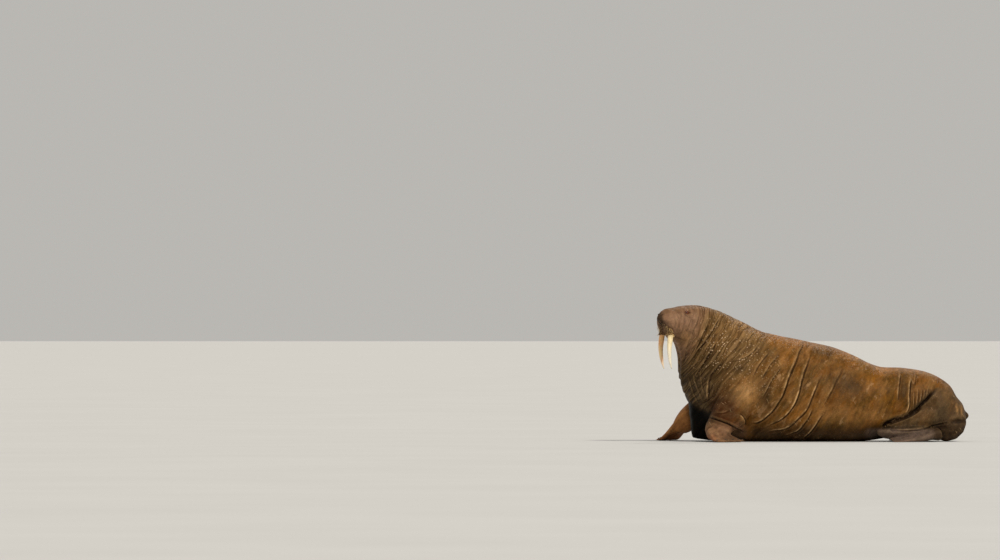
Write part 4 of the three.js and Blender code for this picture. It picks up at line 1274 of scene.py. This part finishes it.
# %% [markdown]
# ## Tusks
# Tusks are long upper teeth: oval in section, gently curved back, fluted along their length and
# blunt at the end. Rings of corners are laid along the same curve as in the solids, with more rings
# and more sides, so the flutes can be real shape. Fine cracks and stains are left to the material.

# %% Two tusks
TUSK = [  # back, side, up, depth and width of the section
    (0.045, 0.070, 0.940, 0.0250, 0.0180), (0.030, 0.075, 0.880, 0.0250, 0.0180),
    (0.018, 0.076, 0.770, 0.0200, 0.0150), (0.026, 0.071, 0.670, 0.0130, 0.0100),
    (0.043, 0.067, 0.606, 0.0040, 0.0035),
]
TUSK_TIP = (0.0455, 0.0665, 0.6025)
TUSK_RINGS, TUSK_SIDES = 72, 36


def outward(mesh):
    """Turns all faces of a closed mesh to point out of it."""
    net = bmesh.new()
    net.from_mesh(mesh)
    bmesh.ops.recalc_face_normals(net, faces=net.faces)
    net.to_mesh(mesh)
    net.free()
    shade_smooth(mesh)


def tusk_point(side, place):
    back, out, up = place
    return head_point(back, SIDES[side] * out, up)


def tusk(side):
    """Rings along the curve, swelling and shrinking a little, each cut by three broad flutes and
    seven fine ones, then closed at root and tip."""
    rows = through(TUSK, np.linspace(0, len(TUSK) - 1, TUSK_RINGS))
    rows[:, 3:] *= (1 + 0.02 * np.sin(np.linspace(0, 21, TUSK_RINGS)))[:, None]
    angle = np.arange(TUSK_SIDES) / TUSK_SIDES * 2 * math.pi
    points, along = [], []
    for step, (back, out, up, deep, wide) in enumerate(rows):
        centre = tusk_point(side, (back, out, up))
        flute = 1 - 0.035 * np.maximum(np.cos(3 * angle + 0.6 + step * 0.006), 0) ** 3
        flute -= 0.02 * np.maximum(np.cos(7 * angle + 1.9), 0) ** 4
        ring = centre + np.outer(-np.cos(angle) * deep * flute, HEAD_BACK)
        ring += np.outer(np.sin(angle) * wide * flute * SIDES[side], HEAD_LEFT)
        points.extend(ring)
        along += [step / (TUSK_RINGS - 1)] * TUSK_SIDES
    points += [tusk_point(side, TUSK[0][:3]), tusk_point(side, TUSK_TIP)]
    along += [0.0, 1.0]
    faces = []
    for step in range(TUSK_RINGS - 1):
        for k in range(TUSK_SIDES):
            a, b = step * TUSK_SIDES + k, step * TUSK_SIDES + (k + 1) % TUSK_SIDES
            faces.append((a, b, b + TUSK_SIDES, a + TUSK_SIDES))
    first, last = len(points) - 2, (TUSK_RINGS - 1) * TUSK_SIDES
    for k in range(TUSK_SIDES):
        faces.append((first, (k + 1) % TUSK_SIDES, k))
        faces.append((last + k, last + (k + 1) % TUSK_SIDES, first + 1))
    mesh = mesh_of("tusk_skin_" + side, points, faces)
    outward(mesh)
    store(mesh, "along", np.array(along))
    store(mesh, "stained", np.full(len(points), float(side == "right")))
    return new_piece("ivory_tusk_" + side, mesh)


# %% Ivory
def ivory_material():
    """Cream, paler towards the tip, with grain, cracks and stains. One tusk is stained amber."""
    material, tree, shader = new_material("tusk ivory")
    place = object_place(tree)
    along = stored(tree, "along")
    grain = use(tree, STREAKS, Place=place, Size=0.005, Seed=3.0)["Height"]
    crack = use(tree, STREAKS, Place=place, Size=0.009, Seed=8.0)["Height"]
    drawn = scaled(tree, place, (1.0, 1.0, 0.5))
    stain = use(tree, BLOTCHES, Place=drawn, Size=0.05, Softness=0.2, Seed=5.0)
    colour = blend(tree, between(tree, along, 0.12, 0.75), tint(248, 224, 168), tint(255, 248, 226))
    colour = blend(tree, between(tree, grain, 0.42, 0.62, 0.0, 0.16), colour, tint(198, 156, 92))
    colour = blend(tree, times(tree, stain["Mask"], 0.10), colour, tint(150, 104, 56))
    colour = blend(tree, between(tree, along, 0.92, 1.0, 0.0, 0.35), colour, tint(178, 150, 108))
    middle_part = times(tree, stored(tree, "stained"), between(tree, along, 0.95, 0.6, 0.15, 0.75))
    amber = blend(tree, stain["Mask"], tint(250, 208, 132), tint(240, 150, 72))
    colour = blend(tree, middle_part, colour, amber)
    off_crack = work(tree, "ABSOLUTE", work(tree, "SUBTRACT", crack, 0.5))
    line = work(tree, "SUBTRACT", 1.0, between(tree, off_crack, 0.0, 0.012))
    colour = blend(tree, times(tree, line, 0.55), colour, tint(96, 62, 34))
    height = work(tree, "MULTIPLY_ADD", grain, 0.0010, times(tree, line, -0.0006))
    bump = put(tree, "ShaderNodeBump", {"Strength": 0.6, "Distance": 1.0, "Height": height})
    rough = between(tree, stain["Height"], 0.3, 0.7, 0.22, 0.42)
    join_to(tree, shader, Base_Color=colour, Roughness=rough, Normal=bump.outputs[0])
    shader.inputs["Coat Weight"].default_value = 0.2
    return material


IVORY = ivory_material()
tusks = {side: tusk(side) for side in SIDES}
for piece in tusks.values():
    piece.data.materials.append(IVORY)
TUSK_LENGTH, TUSK_SEEN = TUSK[0][2] - TUSK_TIP[2], GUM - TUSK_TIP[2]
print("a tusk is", round(TUSK_LENGTH, 3), "m long,", round(TUSK_SEEN, 3), "m of it in the open")

# %% [markdown]
# ## Eyes
# The eye is a ball whose cornea bulges a little. It is made of rings round the line of sight, so one
# stored number, how far a ring lies from that line, can colour pupil, iris and the reddish white.

# %% Two eyeballs
EYE_RINGS, EYE_SIDES = 40, 48
BALL_RADIUS = EYE_RADIUS - 0.0004
CORNEA = 0.035  # how much further the cornea stands out, as a share of the radius
SIGHT_AHEAD, SIGHT_DOWN = 0.30, 0.06


def eyeball(side):
    sight = HEAD_LEFT * SIDES[side] - HEAD_BACK * SIGHT_AHEAD - np.array([0, 0, SIGHT_DOWN])
    sight /= np.linalg.norm(sight)
    across = np.cross(sight, (0, 0, 1))
    across /= np.linalg.norm(across)
    over = np.cross(across, sight)
    centre = eye_centre(side)
    points, ring_at = [centre + sight * BALL_RADIUS * (1 + CORNEA)], [0.0]
    for ring in range(1, EYE_RINGS):
        turn = math.pi * ring / EYE_RINGS
        radius = BALL_RADIUS * (1 + CORNEA * math.exp(-(turn / 0.55) ** 4))
        for k in range(EYE_SIDES):
            way = 2 * math.pi * k / EYE_SIDES
            flat = across * math.cos(way) + over * math.sin(way)
            points.append(centre + radius * (sight * math.cos(turn) + flat * math.sin(turn)))
            ring_at.append(turn / math.pi)
    points.append(centre - sight * BALL_RADIUS)
    ring_at.append(1.0)
    faces = [(0, 1 + k, 1 + (k + 1) % EYE_SIDES) for k in range(EYE_SIDES)]
    for ring in range(EYE_RINGS - 2):
        for k in range(EYE_SIDES):
            a, b = 1 + ring * EYE_SIDES + k, 1 + ring * EYE_SIDES + (k + 1) % EYE_SIDES
            faces.append((a, a + EYE_SIDES, b + EYE_SIDES, b))
    last = 1 + (EYE_RINGS - 2) * EYE_SIDES
    faces += [(last + k, len(points) - 1, last + (k + 1) % EYE_SIDES) for k in range(EYE_SIDES)]
    mesh = mesh_of("eyeball_" + side, points, faces)
    outward(mesh)
    store(mesh, "ring", np.array(ring_at))
    return new_piece("eyeball_" + side, mesh)


# %% A wet eye
def eye_material():
    """Pupil, iris, a dark edge and a reddish white with veins, one after another along the rings."""
    material, tree, shader = new_material("wet eye")
    place = object_place(tree)
    ring = stored(tree, "ring")
    flecks = use(tree, BLOTCHES, Place=place, Size=0.004, Softness=0.16, Seed=6.0)
    veins = use(tree, CRACKS, Lie=place, Size=0.007, Width=0.09)["Crack"]
    iris = blend(tree, flecks["Mask"], tint(74, 32, 14), tint(112, 52, 24))
    white = blend(tree, times(tree, veins, 0.7), tint(140, 78, 58), tint(104, 30, 20))
    colour = blend(tree, between(tree, ring, 0.06, 0.075), tint(6, 4, 4), iris)
    colour = blend(tree, between(tree, ring, 0.175, 0.20), colour, tint(30, 16, 12))
    colour = blend(tree, between(tree, ring, 0.205, 0.24), colour, white)
    join_to(tree, shader, Base_Color=colour)
    shader.inputs["Roughness"].default_value = 0.12
    shader.inputs["Coat Weight"].default_value = 0.35
    shader.inputs["Coat Roughness"].default_value = 0.04
    return material


WET_EYE = eye_material()
eyes = {side: eyeball(side) for side in SIDES}
for piece in eyes.values():
    piece.data.materials.append(WET_EYE)
print("eyeballs of", round(BALL_RADIUS * 2000, 1), "mm")

# %% [markdown]
# ## Nails
# Each digit of a flipper carries a small blunt nail set back from the rim. All twenty have the same
# shape, so one nail is put on every place by Geometry Nodes. A place is a single corner that stores
# which way its nail points and which way is up on it, both read from the solid nail there.

# %% A tree that puts a nail on every place
def shape_tree(name, wanted):
    """A tree for a modifier: a shape goes in and a shape comes out."""
    given = [("Geometry", "Geometry")]
    return new_group(name, "GeometryNodeTree", [("Geometry", "Geometry", None)] + wanted, given)


def stored_direction(tree, name):
    values = {"Name": name}
    return put(tree, "GeometryNodeInputNamedAttribute", values, data_type="FLOAT_VECTOR").outputs[0]


def random_size(tree, low, high, seed):
    values = {2: low, 3: high, "Seed": seed}
    return put(tree, "FunctionNodeRandomValue", values, data_type="FLOAT").outputs[1]


def set_inputs(modifier, **values):
    """Sets a modifier's inputs by name, through the identifier that each socket has in the tree."""
    for item in modifier.node_group.interface.items_tree:
        if item.in_out == "INPUT" and item.name.replace(" ", "_") in values:
            modifier[item.identifier] = values[item.name.replace(" ", "_")]


def nail_tree():
    wanted = [("Long", "Float", 0.013), ("Wide", "Float", 0.0065), ("High", "Float", 0.006),
              ("Size Spread", "Float", 0.08), ("Seed", "Int", 4), ("Horn", "Material", None)]
    tree, given, out = shape_tree("nails on digits", wanted)
    values = {"Segments": 24, "Rings": 20, "Radius": 1.0}
    ball = put(tree, "GeometryNodeMeshUVSphere", values).outputs["Mesh"]
    spot = put(tree, "GeometryNodeInputPosition").outputs[0]
    part = put(tree, "ShaderNodeSeparateXYZ", {0: spot}).outputs
    # The ball is turned into a nail: narrower and bent down towards its tip, and ridged lengthwise.
    narrow = work(tree, "MULTIPLY_ADD", part[0], -0.22, 0.82)
    ridge = work(tree, "MULTIPLY_ADD", work(tree, "SINE", times(tree, part[1], 16.0)), 0.03, 1.0)
    x = times(tree, part[0], given["Long"])
    y = times(tree, times(tree, part[1], narrow), given["Wide"])
    z = times(tree, times(tree, part[2], ridge), given["High"])
    bent = times(tree, times(tree, part[0], part[0]), -0.0022)
    place = put(tree, "ShaderNodeCombineXYZ", {0: x, 1: y, 2: work(tree, "ADD", z, bent)}).outputs[0]
    nail = put(tree, "GeometryNodeSetPosition", {"Geometry": ball, "Position": place}).outputs[0]
    values = {"Primary Axis": stored_direction(tree, "ahead"),
              "Secondary Axis": stored_direction(tree, "above")}
    turn = put(tree, "FunctionNodeAxesToRotation", values, primary_axis="X", secondary_axis="Z").outputs[0]
    low = work(tree, "SUBTRACT", 1.0, given["Size Spread"])
    high = work(tree, "ADD", 1.0, given["Size Spread"])
    size = random_size(tree, low, high, given["Seed"])
    values = {"Points": given["Geometry"], "Instance": nail, "Rotation": turn, "Scale": size}
    placed = put(tree, "GeometryNodeInstanceOnPoints", values).outputs[0]
    solid = put(tree, "GeometryNodeRealizeInstances", {0: placed}).outputs[0]
    shaded = put(tree, "GeometryNodeSetShadeSmooth", {"Geometry": solid}).outputs[0]
    values = {"Geometry": shaded, "Material": given["Horn"]}
    dressed = put(tree, "GeometryNodeSetMaterial", values).outputs[0]
    tree.links.new(dressed, out["Geometry"])
    return tree


# %% Placing the nails
def horn_material():
    material, tree, shader = new_material("dark horn")
    place = object_place(tree)
    drawn = scaled(tree, place, (1.0, 2.5, 1.0))
    grain = use(tree, BLOTCHES, Place=drawn, Size=0.004, Softness=0.2, Seed=9.0)
    stain = use(tree, BLOTCHES, Place=place, Size=0.012, Softness=0.15, Seed=10.0)
    colour = blend(tree, grain["Mask"], tint(58, 44, 36), tint(104, 82, 62))
    colour = blend(tree, times(tree, stain["Mask"], 0.5), colour, tint(38, 28, 24))
    values = {"Strength": 0.5, "Distance": 0.0006, "Height": grain["Height"]}
    bump = put(tree, "ShaderNodeBump", values)
    rough = work(tree, "MULTIPLY_ADD", grain["Height"], 0.3, 0.3)
    join_to(tree, shader, Base_Color=colour, Roughness=rough, Normal=bump.outputs[0])
    return material


HORN = horn_material()
FLIPPERS = [f"{limb}_flipper_{side}" for limb in ("fore", "hind") for side in SIDES]
DIGITS = range(1, 6)
NAILS = [f"nail_{flipper}_{digit}" for flipper in FLIPPERS for digit in DIGITS]


def nail_places():
    """A mesh of single corners, one in each solid nail, with the directions of that nail."""
    centres, ahead, above = [], [], []
    for flipper, digit in itertools.product(FLIPPERS, DIGITS):
        name = f"nail_{flipper}_{digit}"
        points = corners(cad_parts[name].data)
        middle_nail = centre_of(name)
        long_way = np.linalg.svd(points - points.mean(0), full_matrices=False)[2][0]
        long_way *= np.sign(long_way @ (middle_nail - centre_of(flipper)))
        up_way = np.array([0.0, 0.0, 1.0]) - long_way * long_way[2]
        centres.append(middle_nail)
        ahead.append(long_way)
        above.append(up_way / np.linalg.norm(up_way))
    mesh = bpy.data.meshes.new("nail places")
    mesh.from_pydata([tuple(c) for c in centres], [], [])
    store(mesh, "ahead", np.array(ahead))
    store(mesh, "above", np.array(above))
    return mesh


nails = new_piece("nails_on_digits", nail_places())
modifier = nails.modifiers.new("nails", "NODES")
modifier.node_group = nail_tree()
set_inputs(modifier, Horn=HORN, Long=0.0134, Wide=0.0068, High=0.0062, Size_Spread=0.06, Seed=4)
nails = finished(nails)
print("nails:", len(NAILS), "with", len(nails.data.polygons), "faces")

# %% [markdown]
# ## Whisker bristles
# About two hundred stiff bristles stand on the whisker pads, short and worn at the front and longer
# at the sides. They grow from a copy of the pads' surface: Geometry Nodes scatter points on it, no
# two closer than a bristle's spacing, and put a tapered, bent bristle on each, leaning down.

# %% The pads they grow from
def pad_patch():
    """The faces of the skin on the whisker pads, with the share of full length at each corner."""
    points = corners(skin.data)
    back, side_way, up = head_place(points)
    pad = whisker_bed(back, side_way, up)
    net = bmesh.new()
    net.from_mesh(skin.data)
    bmesh.ops.delete(net, geom=[v for v in net.verts if pad[v.index] < 0.5], context="VERTS")
    mesh = bpy.data.meshes.new("whisker pads")
    net.to_mesh(mesh)
    net.free()
    for name in masks:
        mesh.attributes.remove(mesh.attributes[name])
    points = corners(mesh)
    back, side_way, up = head_place(points)
    droop = np.outer(np.sign(side_way), HEAD_LEFT) * 0.35 + HEAD_BACK * 0.25 + np.array([0, 0, -1.0])
    store(mesh, "lean", droop)
    store(mesh, "length", 0.5 + 0.8 * ease(np.abs(side_way), 0.03, 0.11))
    return mesh


# %% One bristle
BRISTLE_RINGS, BRISTLE_SIDES = 6, 4
BRISTLE_CORNERS = BRISTLE_RINGS * BRISTLE_SIDES
BRISTLE_BEND = 0.22


def bristle_shape():
    """One bristle of unit length along +Z, tapered and bent towards +X."""
    points, faces = [], []
    for ring in range(BRISTLE_RINGS):
        t = ring / (BRISTLE_RINGS - 1)
        thick = 0.075 * (1 - t) ** 0.7 + 0.010
        for k in range(BRISTLE_SIDES):
            turn = 2 * math.pi / BRISTLE_SIDES * k
            points.append((BRISTLE_BEND * t * t + thick * math.cos(turn), thick * math.sin(turn), t))
    for ring in range(BRISTLE_RINGS - 1):
        for k in range(BRISTLE_SIDES):
            a, b = ring * BRISTLE_SIDES + k, ring * BRISTLE_SIDES + (k + 1) % BRISTLE_SIDES
            faces.append((a, b, b + BRISTLE_SIDES, a + BRISTLE_SIDES))
    last = BRISTLE_CORNERS - BRISTLE_SIDES
    faces.append(tuple(range(BRISTLE_SIDES))[::-1])
    faces.append(tuple(range(last, BRISTLE_CORNERS)))
    mesh = mesh_of("one bristle", points, faces)
    store(mesh, "tip", np.repeat(np.arange(BRISTLE_RINGS) / (BRISTLE_RINGS - 1), BRISTLE_SIDES))
    return mesh


# %% A tree that grows bristles on a patch
def bristle_tree():
    wanted = [("Bristle", "Object", None), ("Spacing", "Float", 0.006), ("Density", "Float", 30000.0),
              ("Shortest", "Float", 0.018), ("Longest", "Float", 0.034), ("Sunk", "Float", 0.004),
              ("Lean", "Float", 0.6), ("Seed", "Int", 12), ("Finish", "Material", None)]
    tree, given, out = shape_tree("bristles on a pad", wanted)
    values = {"Mesh": given["Geometry"], "Distance Min": given["Spacing"],
              "Density Max": given["Density"], "Seed": given["Seed"]}
    spread = put(tree, "GeometryNodeDistributePointsOnFaces", values, distribute_method="POISSON")
    normal = spread.outputs["Normal"]
    lean = stored_direction(tree, "lean")
    way = vectors(tree, "ADD", normal, vectors(tree, "SCALE", lean, given["Lean"]))
    values = {"Primary Axis": way, "Secondary Axis": lean}
    turn = put(tree, "FunctionNodeAxesToRotation", values, primary_axis="Z", secondary_axis="X").outputs[0]
    values = {"Name": "length"}
    length = put(tree, "GeometryNodeInputNamedAttribute", values, data_type="FLOAT").outputs[0]
    size = times(tree, random_size(tree, given["Shortest"], given["Longest"], given["Seed"]), length)
    sunk = vectors(tree, "SCALE", normal, times(tree, given["Sunk"], -1.0))
    values = {"Geometry": spread.outputs["Points"], "Offset": sunk}
    points = put(tree, "GeometryNodeSetPosition", values).outputs[0]
    shape = put(tree, "GeometryNodeObjectInfo", {"Object": given["Bristle"]}).outputs["Geometry"]
    values = {"Points": points, "Instance": shape, "Rotation": turn, "Scale": size}
    placed = put(tree, "GeometryNodeInstanceOnPoints", values).outputs[0]
    solid = put(tree, "GeometryNodeRealizeInstances", {0: placed}).outputs[0]
    values = {"Geometry": solid, "Material": given["Finish"]}
    dressed = put(tree, "GeometryNodeSetMaterial", values).outputs[0]
    tree.links.new(dressed, out["Geometry"])
    return tree


# %% The bristles grown
def bristle_material():
    """Straw, paler towards the tip, with stained stretches."""
    material, tree, shader = new_material("whisker bristle")
    stain = use(tree, BLOTCHES, Place=object_place(tree), Size=0.008, Softness=0.2, Seed=11.0)
    colour = blend(tree, stored(tree, "tip"), tint(206, 160, 88), tint(246, 216, 150))
    colour = blend(tree, times(tree, stain["Mask"], 0.35), colour, tint(140, 96, 52))
    rough = between(tree, stain["Height"], 0.3, 0.7, 0.35, 0.55)
    join_to(tree, shader, Base_Color=colour, Roughness=rough)
    return material


BRISTLE = bristle_material()
seedling = new_piece("one_bristle", bristle_shape())
bristles = new_piece("whisker_bristles", pad_patch())
modifier = bristles.modifiers.new("bristles", "NODES")
modifier.node_group = bristle_tree()
set_inputs(modifier, Bristle=seedling, Spacing=0.0095, Density=90000.0, Shortest=0.014, Longest=0.024,
           Sunk=0.003, Lean=0.6, Seed=12, Finish=BRISTLE)
bristles = finished(bristles)
bpy.data.objects.remove(seedling)
shade_smooth(bristles.data)
print("bristles:", len(bristles.data.vertices) // BRISTLE_CORNERS)

# %% [markdown]
# ### Room for the baked colours
# When the model is exported, the bristles' colours are painted into an image. Each bristle needs a
# small place of its own there, at the place where it grows, on a map wound round the head: the
# turn about the head's length one way, the distance from the nose the other.

# %% A map for the bristles
MAP_AXIS = 0.80  # the height that the map is wound round
MAP_LENGTH, MAP_START = 0.16, 0.15  # the length that it covers, and where the nose is on it
MAP_PLACE = 0.003  # the part of the map that each bristle gets, in both directions


def map_bristles(mesh):
    points = corners(mesh).reshape(-1, BRISTLE_CORNERS, 3)
    root = points[:, :BRISTLE_SIDES].mean(1)
    back, side_way, up = head_place(root)
    across = np.arctan2(side_way, up - MAP_AXIS) / (2 * math.pi) + 0.5
    along = back / MAP_LENGTH + MAP_START
    spot = np.repeat(np.stack([across, along], 1), BRISTLE_CORNERS, axis=0)
    ring, turn = np.divmod(np.arange(BRISTLE_CORNERS), BRISTLE_SIDES)
    one = np.stack([turn / (BRISTLE_SIDES - 1), ring / (BRISTLE_RINGS - 1)], 1) * MAP_PLACE
    patch = np.tile(one, (len(root), 1))
    layer = mesh.uv_layers.new(name="OFBake")
    corner_of = np.empty(len(mesh.loops), np.int32)
    mesh.loops.foreach_get("vertex_index", corner_of)
    layer.data.foreach_set("uv", np.clip(spot + patch, 0, 1)[corner_of].astype(np.float32).ravel())
    mesh.uv_layers.active = layer


map_bristles(bristles.data)
print("map:", bristles.data.uv_layers[0].name)

# %% [markdown]
# ## Joining the animal to its frame
# Every piece rides on the one body. The solids that the pieces stand for are hidden here and still
# serve for collision.

# %% Riding and replacing
for piece in [skin, bristles, nails, *tusks.values(), *eyes.values()]:
    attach(piece, "root")
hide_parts(*FLESH)
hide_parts(*NAILS)
for side in SIDES:
    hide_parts("tusk_" + side)
    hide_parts("eye_" + side)

# %% [markdown]
# ## Studio and camera
# The floor is so wide that its edge lies far behind, so the animal seems to lie in a pale room. One
# warm sun stands high on the right and in front, a soft one behind lights the outline, and a pale sky
# fills the shade. The camera is a long lens, far away and a little under a metre above the floor.

# %% Floor and light
FLOOR_REACH = 1500.0


def floor():
    mesh = bpy.data.meshes.new("studio_floor")
    signs = [(-1, -1), (1, -1), (1, 1), (-1, 1)]
    mesh.from_pydata([(a * FLOOR_REACH, b * FLOOR_REACH, 0) for a, b in signs], [], [(0, 1, 2, 3)])
    material, tree, shader = new_material("pale floor")
    cloud = use(tree, BLOTCHES, Place=object_place(tree), Size=1.5, Softness=0.4, Seed=2.0)["Mask"]
    join_to(tree, shader, Base_Color=blend(tree, cloud, tint(188, 188, 188), tint(194, 194, 193)))
    shader.inputs["Roughness"].default_value = 0.9
    mesh.materials.append(material)
    return new_piece("studio_floor", mesh)


def sun(name, towards, strength, angle, colour):
    """A sun that stands in the direction given. A larger angle makes its shadows softer."""
    lamp = bpy.data.lights.new(name, "SUN")
    lamp.energy, lamp.angle, lamp.color = strength, math.radians(angle), colour
    piece = bpy.data.objects.new(name, lamp)
    piece.rotation_euler = Vector(towards).to_track_quat("Z", "Y").to_euler()
    bpy.context.scene.collection.objects.link(piece)


floor()
sun("key sun", (0.42, -0.60, 0.75), 2.8, 3.0, (1.0, 0.94, 0.84))
sun("rim sun", (0.20, 0.80, 0.60), 0.5, 12.0, (1.0, 0.95, 0.88))
world = bpy.data.worlds.new("pale room")
world.use_nodes = True
sky = world.node_tree.nodes["Background"].inputs
sky["Color"].default_value = (0.98, 0.95, 0.90, 1.0)
sky["Strength"].default_value = 0.50
bpy.context.scene.world = world
bpy.context.scene.view_settings.view_transform = "Standard"

# %% Camera
FRAME_MIDDLE = -2.59 + SHIFT[0]  # the animal lies to the right of the middle of the frame
CAMERA_AT = Vector((FRAME_MIDDLE, -69.2, 0.87))
LOOK_AT = Vector((FRAME_MIDDLE, 0.0, 1.34))
lens = bpy.data.cameras.new("camera")
lens.lens, lens.sensor_width = 300.0, 36.0
lens.clip_end = 5000.0
camera = bpy.data.objects.new("camera", lens)
camera.location = CAMERA_AT
camera.rotation_euler = (LOOK_AT - CAMERA_AT).to_track_quat("-Z", "Y").to_euler()
bpy.context.scene.collection.objects.link(camera)
bpy.context.scene.camera = camera
print("camera", round((LOOK_AT - CAMERA_AT).length, 2), "m away")
